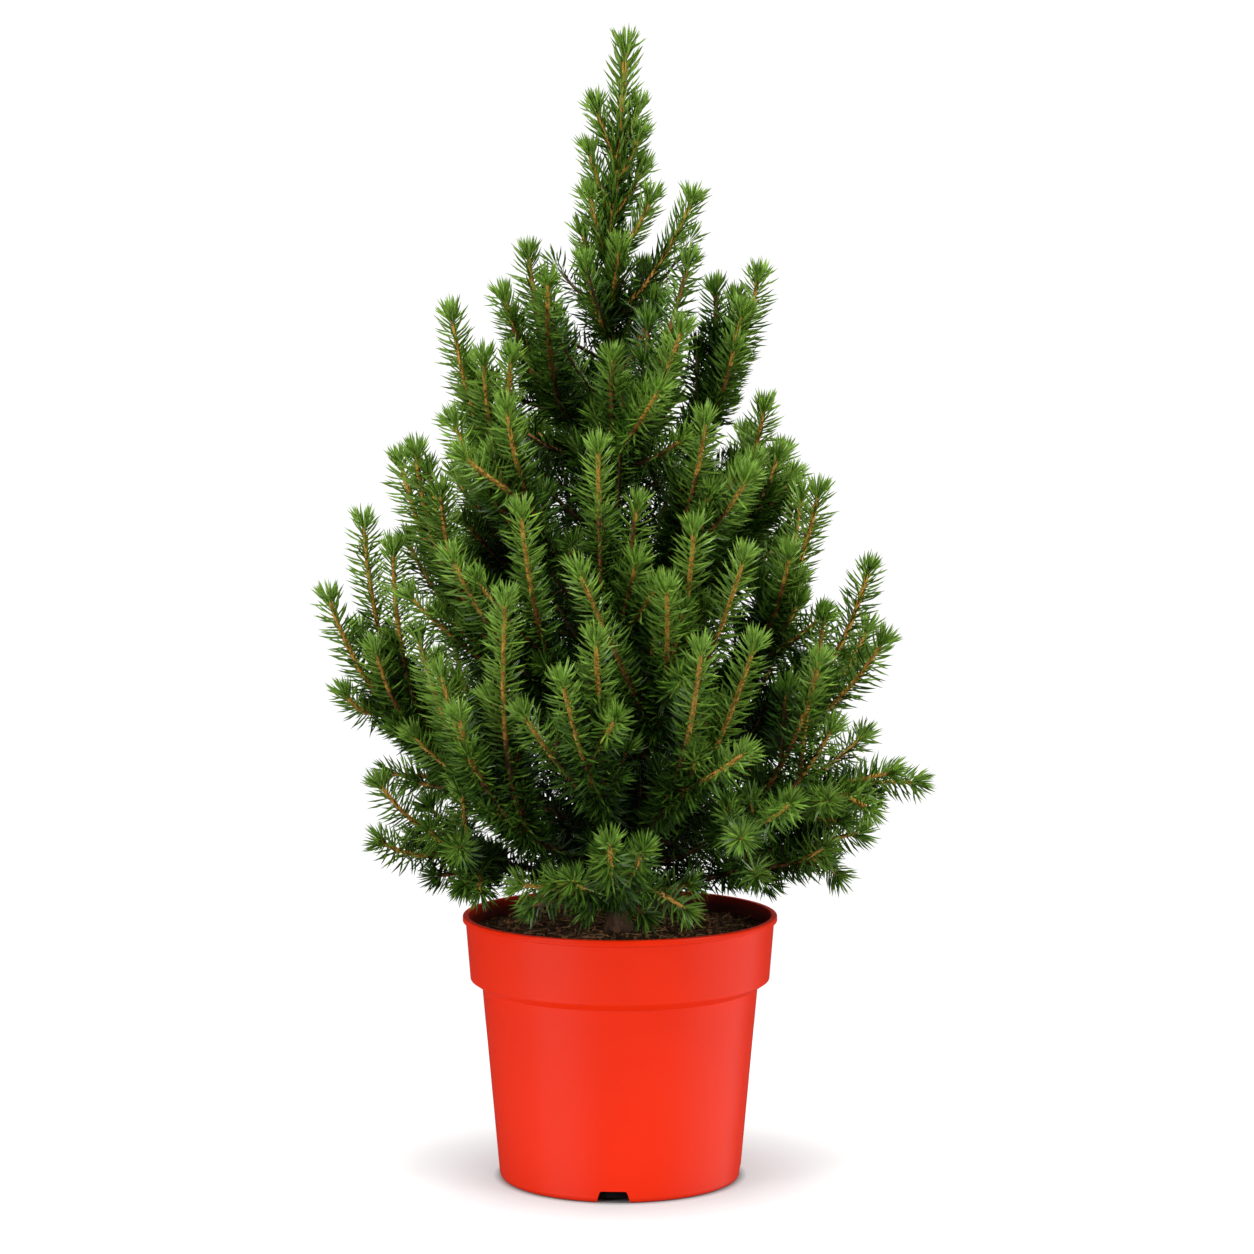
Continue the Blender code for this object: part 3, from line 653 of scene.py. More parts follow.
def crownTree():
    # one search tree over every foliage mass of the frame
    corners, faces = [], []
    for name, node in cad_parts.items():
        if name.startswith("foliage_"):
            start = len(corners)
            corners += [v.co.copy() for v in node.data.vertices]
            faces += [[start + i for i in polygon.vertices] for polygon in node.data.polygons]
    return BVHTree.FromPolygons(corners, faces)


def insideCrown(tree, point, proud):
    place, normal, _, gap = tree.find_nearest(point)
    return gap < proud or (np.array(point) - np.array(place)) @ np.array(normal) < 0


def clearOfPot(twig):
    return twig[-1][2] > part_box("pot")[1].z + branching["overRim"]


def lightAt(points):
    # how far out in the crown each point lies, from 0 at the trunk to 1 at the outline
    reach = np.interp(points[:, 2], [*crown["heights"], *crown["topHeights"]],
                      [*crown["reaches"], *crown["topReaches"]])
    return np.clip(np.linalg.norm(points[:, :2], axis=1) / reach, 0, 1)


def makeShoot(points, kind, mass, bare=0.0):
    return {"points": points, "kind": kind, "mass": mass, "bare": bare}


def sideTwig(parent, share, roll, angle, length):
    start, heading = pointOn(parent, share), directionOn(parent, share)
    side = np.cross(heading, [0.0, 0.0, 1.0])
    side /= max(1e-6, np.linalg.norm(side))
    out = math.cos(roll) * side + math.sin(roll) * np.cross(side, heading)
    way = math.cos(angle) * heading + math.sin(angle) * out
    turnUp = branching["sideTurnUp"]
    end = start + (way * (1 - turnUp / 2) + np.array([0, 0, turnUp / 2]) + heading * turnUp / 3) * length
    return bezier(start, start + way * length * 0.5, end, branching["twigSteps"])


def sideShoots(mass, curve, bare, tree, chance):
    # twigs round a shoot, each turned on from the last by the golden angle
    grown = []
    low, high = bare + (1 - bare) * branching["sideFrom"], branching["sideTo"]
    count = int(lengthOf(curve) * (high - low) / branching["sideEvery"])
    roll = chance.uniform(0, math.tau)
    longest, loss = branching["sideShorter"]
    for i in range(count):
        share = low + (high - low) * (i + chance.random()) / count
        roll += goldenAngle
        size = chance.uniform(*branching["sideLength"]) * (longest - loss * share)
        twig = sideTwig(curve, share, roll, math.radians(chance.uniform(*branching["sideAngle"])), size)
        if clearOfPot(twig) and insideCrown(tree, twig[-1], branching["proud"]):
            grown.append(makeShoot(twig, "side", mass))
    return grown


def fillerShoots(mass, curves, tree, chance):
    # more shoots of a mass, from low on its forks, kept where they end inside the crown
    grown = []
    isFar = mass in crown["farBoughs"]
    proud = branching["farProud" if isFar else "fillerProud"]
    for i in range(branching["farFillers" if isFar else "fillers"]):
        parent = curves[i % len(curves)]
        for _ in range(branching["fillerTries"]):
            bare = boughShare(parent) if parent is curves[0] else 0.0
            share = bare + (1 - bare) * chance.uniform(*branching["fillerFrom"])
            twig = sideTwig(parent, share, chance.uniform(0, math.tau),
                            math.radians(chance.uniform(*branching["fillerAngle"])),
                            chance.uniform(*branching["fillerLength"]))
            if clearOfPot(twig) and lightAt(twig[-1:])[0] < branching["fillerReach"] \
                    and insideCrown(tree, twig[-1], proud):
                grown.append(makeShoot(twig, "filler", mass))
                break
    return grown


def innerShoots(shoots, tree, chance):
    # short shoots on the bare boughs, then up the trunk, that close the crown's middle
    grown = []
    first, spread = branching["boughShootFrom"]
    for mass, curves in limbsOf(shoots).items():
        for i in range(branching["boughShoots"]):
            share = boughShare(curves[0]) * (first + spread * i / branching["boughShoots"])
            twig = sideTwig(curves[0], share, chance.uniform(0, math.tau),
                            math.radians(chance.uniform(*branching["boughShootAngle"])),
                            chance.uniform(*branching["boughShootLength"]))
            if clearOfPot(twig):
                grown.append(makeShoot(twig, "inner", mass))
    height, azimuth = trunkAxis[0][2] + branching["trunkFrom"], 0.0
    while height < branching["trunkTo"]:
        azimuth += math.degrees(goldenAngle)
        root = trunkAt(height)
        reach = chance.uniform(*branching["trunkShootReach"]) * np.interp(height, crown["heights"],
                                                                          crown["reaches"])
        slope = chance.uniform(*branching["trunkShootSlope"])
        isFar = math.sin(math.radians(azimuth)) > branching["farSide"]
        proud = branching["farProud" if isFar else "innerProud"]
        for _ in range(branching["shorter"]):
            run = tipAt(azimuth, reach, reach * slope)
            if insideCrown(tree, root + run, proud) \
                    and lightAt((root + run)[None])[0] < branching["innerReach"]:
                break
            reach *= branching["shortening"]
        curve = bentCurve(root, run, *branching["trunkShootBend"], steps=branching["innerSteps"])
        grown.append(makeShoot(curve, "inner", "inner"))
        height += float(np.interp(height, *zip(*branching["trunkEvery"])))
    return grown


def branchOut(shoots):
    chance = random.Random(branching["seed"])
    tree = crownTree()
    grown = []
    for mass, curves in shoots.items():
        if mass == "leader":
            grown += [makeShoot(curve, "fork" if i else "leader", mass) for i, curve in enumerate(curves)]
            continue
        for i, curve in enumerate(curves):
            curve = curve[:-max(1, round(crown["trimmed"] / lengthOf(curve) * len(curve)))]
            bare = 0.0 if i else boughShare(curve)
            grown.append(makeShoot(curve, "fork" if i else "lead", mass, bare))
            grown += sideShoots(mass, curve, bare, tree, chance)
        grown += fillerShoots(mass, curves, tree, chance)
    return grown + innerShoots(shoots, tree, chance)


shoots = growShoots()
allShoots = branchOut(shoots)
grownLength = sum(lengthOf(shoot["points"]) for shoot in allShoots)
print("shoots grown:", len(allShoots), "of", round(grownLength, 1), "m in all")

crowding = {                   # how the painted shade inside the crown is worked out
    "step": 0.004,
    "ahead": 0.018,
    "upward": 0.6,
    "radius": 0.016,
    "full": 13.8,              # this many steps of wood nearby leave a needle in full painted shade
}
needle = {
    "seed": 3,
    "length": 0.0128,
    "width": 0.094,            # of its length
    "bow": 0.032,
    "widest": 0.60,            # where it is thickest, of its length
    "foot": 0.66,              # a full needle's foot, of its width
    "perMetre": {"leader": 2600, "lead": 2500, "fork": 2500, "filler": 2200, "side": 1900, "inner": 1700},
    "lengthPlay": (0.84, 1.10),
    "leaderLength": 1.12,      # the leader's own are longer
    "openAngle": (64.0, 9.0),  # from the shoot, low down: mean and spread, in degrees
    "leaderAngle": (42.0, 9.0),
    "tuftAngle": (27.0, 15.0), # at the bud
    "lowSplay": 13.0,          # low shoots spread their needles wider by this,
    "lowSplayFrom": (0.26, 0.08),       # below this height, and in full that much lower
    "tuftLength": 0.012,
    "tuftExtra": 34,           # more needles at the bud
    "tuftDepth": 0.0045,       # whose feet stand on this much of the shoot
    "tuftShorter": 0.14,
    "innerFewer": 3,           # inner shoots have a third of those
    "stub": 0.0012,            # the last needle's foot is this far from the shoot's end
    "footPlay": 0.9,           # of the way to the next needle's foot
    "rollPlay": 0.25,
    "rooted": 0.8,             # a foot stands this far out from the shoot's middle, of its radius
    "lift": 0.08,              # needles turn up towards the light
    "mostInPiece": {"full": 19000, "lean": 30000},
}
needleGreenAndPaintedShade = {                    # a needle's green, a bud's being 1 and the darkest 0: its tuft and chance are its own, the rest is painted light and shade
    "chance": (0.25, 0.13),
    "open": 0.50,              # light from outside, that falls on it
    "openFrom": (0.30, 0.45),  # from this far out in the crown, and in full that much further
    "tuft": 0.15,
    "facing": 0.10,            # painted light: paler where it faces out and up
    "upward": 0.5,
    "leader": 0.90,            # the leader's needles all stand this far out
    # by height: the painted light that is left low down, the painted lift of the crown's middle, the inner
    # shoots' painted shade
    "lowLight": ((0.16, 0.27), (0.38, 1.0)),
    "middle": ((0.27, 0.34, 0.42, 0.46), (0.0, 0.06, 0.06, 0.0)),
    "innerLoss": ((0.30, 0.42), (0.22, -0.04)),
}


def modelNeedle(lean):
    # one needle of unit length: three sides, bowed, with a sharp tip; a lean one starts from a point too
    bow, widest, foot = needle["bow"], needle["widest"], needle["foot"]
    deselectAll()
    bpy.ops.mesh.primitive_circle_add(vertices=3, radius=needle["width"] / 2, fill_type="NGON",
                                      location=(-bow, 0, widest))
    piece = newest()
    bpy.ops.object.transform_apply(location=True)
    with editingAll():
        bpy.ops.mesh.extrude_region_move(TRANSFORM_OT_translate={"value": (bow, 0, -widest)})
        if lean:
            bpy.ops.mesh.merge(type="CENTER")
        else:
            bpy.ops.transform.resize(value=(foot, foot, 1), center_override=(0, 0, 0))
        bpy.ops.mesh.select_all(action="DESELECT")
    for vertex in piece.data.vertices:
        vertex.select = abs(vertex.co.z - widest) < 0.001
    bpy.ops.object.mode_set(mode="EDIT")
    bpy.ops.mesh.extrude_region_move(TRANSFORM_OT_translate={"value": (bow, 0, 1 - widest)})
    bpy.ops.mesh.merge(type="CENTER")
    return modelledShape(piece)


def unit(vectors):
    return vectors / np.linalg.norm(vectors, axis=1)[:, None]


def outwardFrom(points):
    # level directions out from the pot's axis
    outward = points * np.array([1.0, 1.0, 0.0])
    return outward / np.maximum(np.linalg.norm(outward, axis=1), 1e-4)[:, None]


def travelOn(points):
    # how far along a curve each of its points lies
    return np.concatenate([[0.0], np.cumsum(np.linalg.norm(np.diff(points, axis=0), axis=1))])


def readAt(places, travelled, values):
    return np.stack([np.interp(places, travelled, values[:, k]) for k in range(3)], axis=1)


def framesAlong(points):
    # headings with two square directions at each point, carried along without a twist
    headings = unit(np.gradient(points, axis=0))
    side = np.cross(headings[0], [0.0, 0.0, 1.0])
    if np.linalg.norm(side) < 0.2:
        side = np.array([1.0, 0.0, 0.0])
    sides = []
    for heading in headings:
        side = side - heading * (side @ heading)
        side = side / np.linalg.norm(side)
        sides.append(side)
    return headings, np.array(sides), np.cross(headings, np.array(sides))


def resample(points, step):
    travelled = travelOn(points)
    places = np.linspace(0, travelled[-1], max(4, int(travelled[-1] / step)))
    return readAt(places, travelled, points)


def shelter(shoots):
    # how much each shoot lies under others, from 0 in the open to 1: the wood just outside and above it
    every = [resample(shoot["points"], crowding["step"]) for shoot in shoots]
    around = KDTree(sum(len(points) for points in every))
    for i, point in enumerate(np.concatenate(every)):
        around.insert(point, i)
    around.balance()
    for shoot, points in zip(shoots, every):
        outward = outwardFrom(points)
        outward[:, 2] = crowding["upward"]
        places = points + outward * crowding["ahead"]
        found = np.array([len(around.find_range(place, crowding["radius"])) for place in places])
        shoot["shelter"] = (np.linspace(0, 1, len(points)), np.clip(found / crowding["full"], 0, 1))


def paintedShadeAndFreshness(shoot, centre, out, along, tuft, chance):
    # where each needle's colour lies, from 0 for the darkest green to 1 for a bud's: its tuft and chance,
    # with painted light and shade from its place in the crown, its shelter, height and facing
    outer = np.full(len(centre), needleGreenAndPaintedShade["leader"]) if shoot["mass"] == "leader" else lightAt(centre)
    lit = 1 - np.interp(along, *shoot["shelter"])
    lit *= np.interp(centre[:, 2], *needleGreenAndPaintedShade["lowLight"])
    facing = (out * (outwardFrom(centre) + np.array([0, 0, needleGreenAndPaintedShade["upward"]]))).sum(axis=1)
    deep, depth = needleGreenAndPaintedShade["openFrom"]
    value = np.interp(centre[:, 2], *needleGreenAndPaintedShade["middle"]) \
        + needleGreenAndPaintedShade["open"] * lit * np.clip((outer - deep) / depth, 0, 1) * (0.5 + 0.5 * along) \
        + needleGreenAndPaintedShade["tuft"] * tuft * outer * (0.4 + 0.6 * lit)
    value += needleGreenAndPaintedShade["facing"] * facing + chance.normal(*needleGreenAndPaintedShade["chance"], len(centre))
    if shoot["kind"] == "inner":
        value -= np.interp(centre[:, 2], *needleGreenAndPaintedShade["innerLoss"])
    return value


def needlesOn(shoot, chance):
    # the needles of one shoot: where they stand, their axes, and which green each has
    points, kind, onLeader = shoot["points"], shoot["kind"], shoot["mass"] == "leader"
    travelled = travelOn(points)
    length = travelled[-1]
    first, last = shoot["bare"] * length, length - needle["stub"]
    count = max(6, int((last - first) * needle["perMetre"][kind]))
    foot = first + (last - first) * (np.arange(count) + chance.uniform(0, needle["footPlay"], count)) / count
    extra = needle["tuftExtra"] // (needle["innerFewer"] if kind == "inner" else 1)
    foot = np.concatenate([foot, last - needle["tuftDepth"] * chance.uniform(0, 1, extra) ** 1.4])
    count += extra
    centre, heading, side, across = [readAt(foot, travelled, values)
                                     for values in (points, *framesAlong(points))]
    roll = (np.arange(count) * goldenAngle + chance.normal(0, needle["rollPlay"], count))[:, None]
    out = np.cos(roll) * side + np.sin(roll) * across
    tuft = np.clip(1 - (last - foot) / needle["tuftLength"], 0, 1) ** 0.8
    low, high = needle["leaderAngle" if onLeader else "openAngle"], needle["tuftAngle"]
    splayHeight, splayDepth = needle["lowSplayFrom"]
    splay = needle["lowSplay"] * np.clip((splayHeight - centre[:, 2]) / splayDepth, 0, 1)
    angle = chance.normal(low[0] + (high[0] - low[0]) * tuft, low[1] + (high[1] - low[1]) * tuft) + splay
    angle = np.radians(np.clip(angle, 3, 88))[:, None]
    way = np.cos(angle) * heading + np.sin(angle) * out
    way[:, 2] += needle["lift"] * (1 - tuft)
    way = unit(way)
    toTip = unit(heading - way * (heading * way).sum(axis=1)[:, None])
    size = needle["length"] * chance.uniform(*needle["lengthPlay"], count)
    size = size * (1 - needle["tuftShorter"] * tuft)
    if kind == "leader":
        size *= needle["leaderLength"]
    axes = np.stack([toTip, np.cross(way, toTip), way], axis=1) * size[:, None, None]
    value = paintedShadeAndFreshness(shoot, centre, out, foot / length, tuft, chance)
    tone = np.clip(((1 - value) * len(needleTones)).astype(int), 0, len(needleTones) - 1)
    girth = thickness.get(kind, thickness["lead"])[1]
    return centre + out * girth * needle["rooted"], axes, tone


def partOf(mass):
    # the part of the plant that a mass belongs to, which names its piece
    words = mass.split("_")
    return words[0 if words[0] in ("crown", "back", "skirt") else -1].capitalize()


def growNeedles():
    shapes = {"full": modelNeedle(False), "lean": modelNeedle(True)}
    shelter(allShoots)
    chance = np.random.RandomState(needle["seed"])
    parts = {}
    for shoot in allShoots:
        part = {"inner": "Inner", "side": "Short"}.get(shoot["kind"], partOf(shoot["mass"]))
        parts.setdefault(part, []).append(needlesOn(shoot, chance))
    total = 0
    for part, groups in parts.items():
        build = "lean" if part in ("Inner", "Short") else "full"
        nodes = ["foliage_" + mass for mass in shoots if part == "Short" or partOf(mass) == part]
        count = sum(len(group[0]) for group in groups)
        share = math.ceil(count / needle["mostInPiece"][build])
        for i in range(share):
            places, axes, tones = [np.concatenate(values) for values in zip(*groups[i::share])]
            piece = joinCopies(f"needles{part}{i + 1}", shapes[build], places, axes, tones)
            finishPiece(piece, needleMaterials, "needles", *nodes)
            print(" ", piece.name, len(places), "needles,", len(piece.data.polygons), "triangles")
        total += count
    print("needles grown:", total)


growNeedles()


bark = {
    "longStep": 0.0025,
    "shortStep": 0.0040,
    "boughStep": 0.0013,
    "trunkStep": 0.0018,
    "pegSize": 0.0016,         # the pegs that needles leave on a shoot
    "pegHeight": 0.0007,
    "flakeSize": 0.0042,
    "flakeHeight": 0.0011,
    "fineSize": 0.0012,
    "fineHeight": 0.0004,
    "toneFrom": (0.60, 0.34),  # how far out in the crown the honey and the russet shoots begin
    "toneHeights": (0.430, 0.495),      # where the trunk turns russet and then honey
    "shade": 0.4,              # painted shade: what full shelter takes from that, turning sheltered shoots darker
    "tipTaper": 0.35,
    "leaderRadius": 0.0016,
    "boughEnds": (0.0013, 0.016),       # a bough's radius at its end, and its widening on the way back
    "boughResolution": 4,
    "boughRelief": 0.6,        # of the trunk's
    "trunkResolution": 10,
    "trunkTip": 0.0005,
    "sink": 0.0015,
}


def twigRuns(shoot, step):
    # a twig in stretches of one tone each, that overlap by a step
    points = shoot["points"]
    start = int(shoot["bare"] * (len(points) - 1))
    points = resample(points[start:], step)[:-1]
    radii = np.linspace(*thickness[shoot["kind"]], len(points))
    radii[-1] *= bark["tipTaper"]
    along = np.linspace(start / len(shoot["points"]), 1, len(points))
    # painted shade: sheltered stretches of a shoot take a darker, older bark
    outer = lightAt(points) * (1 - bark["shade"] * np.interp(along, *shoot["shelter"]))
    if shoot["mass"] == "leader":
        outer[:] = 1
    tones = np.where(outer > bark["toneFrom"][0], 0, np.where(outer > bark["toneFrom"][1], 1, 2))
    if shoot["kind"] == "inner":
        tones[:] = 2
    runs, begin = [], 0
    for i in range(1, len(points) + 1):
        if i == len(points) or tones[i] != tones[begin]:
            stop = min(i + 1, len(points))
            if stop - begin > 1:
                runs.append((points[begin:stop], radii[begin:stop], int(tones[begin])))
            begin = i
    return runs


def growTwigs():
    for name, kinds, step, resolution in (
            ("shootsLong", ("lead", "fork", "filler"), bark["longStep"], 1),
            ("shootsShort", ("side", "inner"), bark["shortStep"], 0)):
        runs = [run for shoot in allShoots if shoot["kind"] in kinds for run in twigRuns(shoot, step)]
        piece = tubes(name, runs, resolution)
        roughen(piece, "needlePegs", "CLOUDS", bark["pegSize"], bark["pegHeight"])
        finishPiece(piece, shootMaterials, "bark")
        print(" ", name, len(piece.data.polygons), "faces")


def growBoughs():
    runs = []
    end, widening = bark["boughEnds"]
    for curve, *_ in limbsOf(shoots).values():
        start = end + lengthOf(curve) * widening / 2
        stop = int(boughShare(curve) * (len(curve) - 1)) + 2
        points = resample(curve[:stop], bark["boughStep"])
        runs.append((points, np.linspace(start, end, len(points)), 0))
    piece = tubes("boughBark", runs, bark["boughResolution"])
    addBarkRelief(piece, bark["boughRelief"])
    finishPiece(piece, [shootMaterials[2]], "bark", *["bough_" + mass for mass in limbsOf(shoots)])
    print("boughs:", len(piece.data.polygons), "faces")


def growTrunk():
    axis = resample(trunkAxis, bark["trunkStep"])
    axis[0][2] -= bark["sink"]          # its foot goes a little into the compost
    radii = np.interp(axis[:, 2], trunkAxis[:, 2], trunkRadii)
    radii[:-3] = np.maximum(radii[:-3], bark["leaderRadius"])
    radii[-1] = bark["trunkTip"]
    tones = np.searchsorted(bark["toneHeights"], axis[:, 2])
    runs = [(axis[max(0, part[0] - 1):part[-1] + 1], radii[max(0, part[0] - 1):part[-1] + 1], tone)
            for tone, part in enumerate(np.flatnonzero(tones == k) for k in range(3))]
    piece = tubes("trunkBark", runs, bark["trunkResolution"])
    addBarkRelief(piece, 1.0)
    finishPiece(piece, [trunkMaterial, shootMaterials[1], shootMaterials[0]], "bark", "trunk")
    print("trunk:", len(piece.data.polygons), "faces")


def addBarkRelief(piece, share):
    roughen(piece, "barkFlakes", "VORONOI", bark["flakeSize"], bark["flakeHeight"] * share)
    roughen(piece, "barkGrain", "CLOUDS", bark["fineSize"], bark["fineHeight"] * share)


growTwigs()
growBoughs()
growTrunk()
print("wood grown")


pot = {
    "sides": 160,
    "footRadius": 0.0654,
    "footRound": 0.0025,
    "footBevel": 0.3,          # how near its corner the foot's rounding comes, of that
    "shoulderRadius": 0.0746,
    "shoulderDrop": 0.0042,
    "collarRadius": 0.0809,
    "collarBottom": 0.1085,
    "wall": 0.0015,
    "floor": 0.0018,
    "innerRise": 0.0006,
    "innerRound": 0.0018,
    "lipHeight": 0.0034,
    "lipDepth": 0.0016,
    "lipEdge": 0.0004,
    "edge": 0.0007,            # radius of the moulded edges, which turn by more than this angle
    "edgeAngle": 16.0,
    "smoothAngle": 32.0,
    "drains": 4,
    "drainAzimuth": 267.0,
    "drainTop": 0.0140,
    "drainBottom": 0.0196,
    "drainHeight": 0.0065,
    "drainDepth": 0.0200,
    "drainRound": 0.0010,
    "drainPast": 0.002,        # the cutter stands this far out of the foot
}


def turnRings(name, sides, profile):
    # a round piece drawn up ring by ring from a filled disc, through (radius, height) pairs
    radius, height = profile[0]
    deselectAll()
    bpy.ops.mesh.primitive_circle_add(vertices=sides, radius=radius, fill_type="NGON",
                                      location=(0, 0, height))
    piece = newest()
    piece.name = piece.data.name = name
    bpy.ops.object.transform_apply(location=True)
    with editingAll():
        for newRadius, newHeight in profile[1:]:
            bpy.ops.mesh.extrude_region_move(TRANSFORM_OT_translate={"value": (0, 0, newHeight - height)})
            scale = newRadius / radius
            bpy.ops.transform.resize(value=(scale, scale, 1), center_override=(0, 0, newHeight))
            radius, height = newRadius, newHeight
    return piece


def modelPot():
    rim = (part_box("pot")[1].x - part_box("pot")[0].x) / 2
    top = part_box("pot")[1].z
    wall, rise = pot["wall"], pot["innerRise"]
    shoulder = pot["collarBottom"] - pot["shoulderDrop"]
    profile = [
        (pot["footRadius"] - pot["footRound"], 0.0),
        (pot["footRadius"] - pot["footRound"] * pot["footBevel"], pot["footRound"] * pot["footBevel"]),
        (pot["footRadius"], pot["footRound"]),
        (pot["shoulderRadius"], shoulder),
        (pot["collarRadius"], pot["collarBottom"]),
        (rim - pot["lipDepth"], top - pot["lipHeight"]),
        (rim, top - pot["lipHeight"] + pot["lipEdge"]),
        (rim, top - pot["lipEdge"]),
        (rim - pot["lipEdge"], top),
        (rim - pot["lipDepth"] - wall, top),
        (pot["collarRadius"] - wall, pot["collarBottom"] + rise),
        (pot["shoulderRadius"] - wall, shoulder + rise),
        (pot["footRadius"] - wall, pot["floor"] + pot["innerRound"]),
        (pot["footRadius"] - wall - pot["innerRound"], pot["floor"]),
    ]
    piece = turnRings("nurseryPot", pot["sides"], profile)
    cleanMesh(piece)
    applyModifier(piece, "mouldedEdges", "BEVEL", width=pot["edge"], segments=3, limit_method="ANGLE",
                  angle_limit=math.radians(pot["edgeAngle"]))
    for i in range(pot["drains"]):
        cutDrain(piece, pot["drainAzimuth"] + 360 / pot["drains"] * i)
    cleanMesh(piece, pot["smoothAngle"])
    finishPiece(piece, [pottedPlastic()], "pot_plastic", "pot")
    print("pot:", len(piece.data.polygons), "faces")


def cutDrain(piece, azimuth):
    # a notch through the foot, narrower at its top, with rounded upper corners
    near, far = pot["footRadius"] - pot["drainDepth"], pot["footRadius"] + pot["drainPast"]
    under, top = -pot["drainPast"], pot["drainHeight"]
    deselectAll()
    bpy.ops.mesh.primitive_cube_add(size=1, location=((near + far) / 2, 0, (under + top) / 2),
                                    scale=(far - near, pot["drainBottom"], top - under))
    cutter = newest()
    bpy.ops.object.transform_apply(location=True, scale=True)
    for vertex in cutter.data.vertices:
        if vertex.co.z > 0:
            vertex.co.y *= pot["drainTop"] / pot["drainBottom"]
    applyModifier(cutter, "corners", "BEVEL", width=pot["drainRound"], segments=3, limit_method="ANGLE")
    cutter.rotation_euler.z = math.radians(azimuth)
    bpy.ops.object.transform_apply(rotation=True)
    applyModifier(piece, "drain", "BOOLEAN", object=cutter, operation="DIFFERENCE", solver="EXACT")
    bpy.data.objects.remove(cutter)


modelPot()


compost = {
    "seed": 9,
    "sides": 150,
    "ringStep": 0.0013,
    "lumpSize": 0.0075,
    "lumpHeight": 0.0026,
    "grainSize": 0.0018,
    "grainHeight": 0.0014,
    "gap": 0.0004,             # to the pot's wall
    "settled": 0.0003,         # the surface lies this far under the trunk's foot
    "edgeCalm": 0.004,         # the relief dies away over this much towards the wall, to this share
    "edgeRough": 0.25,
    "middleCalm": 0.010,       # and over this much towards the trunk
    "crumbs": 1500,
    "crumbSize": (0.0004, 0.0016),
    "crumbPlay": (0.6, 1.4),
    "crumbTones": (0, 0, 0, 1, 1, 2),   # half are damp peat, a third dry, the others bark
    "dented": 0.75,            # a crumb's corners are drawn in to this at most
    "dents": 0.5,
    "lies": (-0.0004, 0.0012), # how high the loose pieces lie on the surface
    "trunkShare": 0.012,       # of the area, kept clear round the trunk
    "wallGap": 0.001,
    "fibres": 110,
    "fibreLength": (0.004, 0.013),
    "fibreRadius": 0.00022,
    "fibrePlay": (0.7, 1.5),
    "fibreSteps": 7,
    "fibreWay": (1, 1, 0.12),  # they lie nearly flat
    "fibreSag": (0.3, 0.3, 0.05),
    "fibresLie": (0.0010, 0.004),       # this much higher, and further in from the wall
}


def modelCompost():
    wall = pot["wall"] + compost["gap"]
    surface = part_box("trunk")[0].z - compost["settled"]
    edgeRadius = np.interp(surface, (pot["collarBottom"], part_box("pot")[1].z),
                           (pot["collarRadius"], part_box("pot")[1].x - pot["lipDepth"])) - wall
    profile = [
        (pot["footRadius"] - wall - pot["innerRound"], pot["floor"] + compost["gap"]),
        (pot["shoulderRadius"] - wall, pot["collarBottom"] - pot["shoulderDrop"] + pot["innerRise"]),
        (pot["collarRadius"] - wall, pot["collarBottom"] + pot["innerRise"] + compost["gap"]),
        (edgeRadius, surface),
    ]
    rings = int(edgeRadius / compost["ringStep"])
    profile += [(edgeRadius * (1 - i / rings), surface) for i in range(1, rings)]
    piece = turnRings("peatCompost", compost["sides"], profile)
    cleanMesh(piece)
    top = piece.vertex_groups.new(name="surface")
    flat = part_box("trunk")[1].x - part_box("trunk")[0].x
    for vertex in piece.data.vertices:
        reach = vertex.co.xy.length
        if vertex.co.z > surface - 0.0001:
            edge = min(1.0, (edgeRadius - reach) / compost["edgeCalm"] + compost["edgeRough"])
            middle = max(0.0, min(1.0, (reach - flat / 2) / compost["middleCalm"]))
            top.add([vertex.index], edge * middle, "REPLACE")
    for name in ("lump", "grain"):
        roughen(piece, name + "s", "CLOUDS", compost[name + "Size"], compost[name + "Height"],
                direction="Z", vertex_group="surface")
    finishPiece(piece, [peatMaterial("milledPeat")], "compost", "soil")
    print("compost:", len(piece.data.polygons), "faces")
    return surface, edgeRadius


def scatter(chance, count, surface, edgeRadius):
    # places spread evenly over the compost, clear of the trunk and the pot's wall
    reach = np.sqrt(chance.uniform(compost["trunkShare"], 1, count)) * (edgeRadius - compost["wallGap"])
    azimuth = chance.uniform(0, math.tau, count)
    return np.column_stack([reach * np.cos(azimuth), reach * np.sin(azimuth),
                            surface + chance.uniform(*compost["lies"], count)])


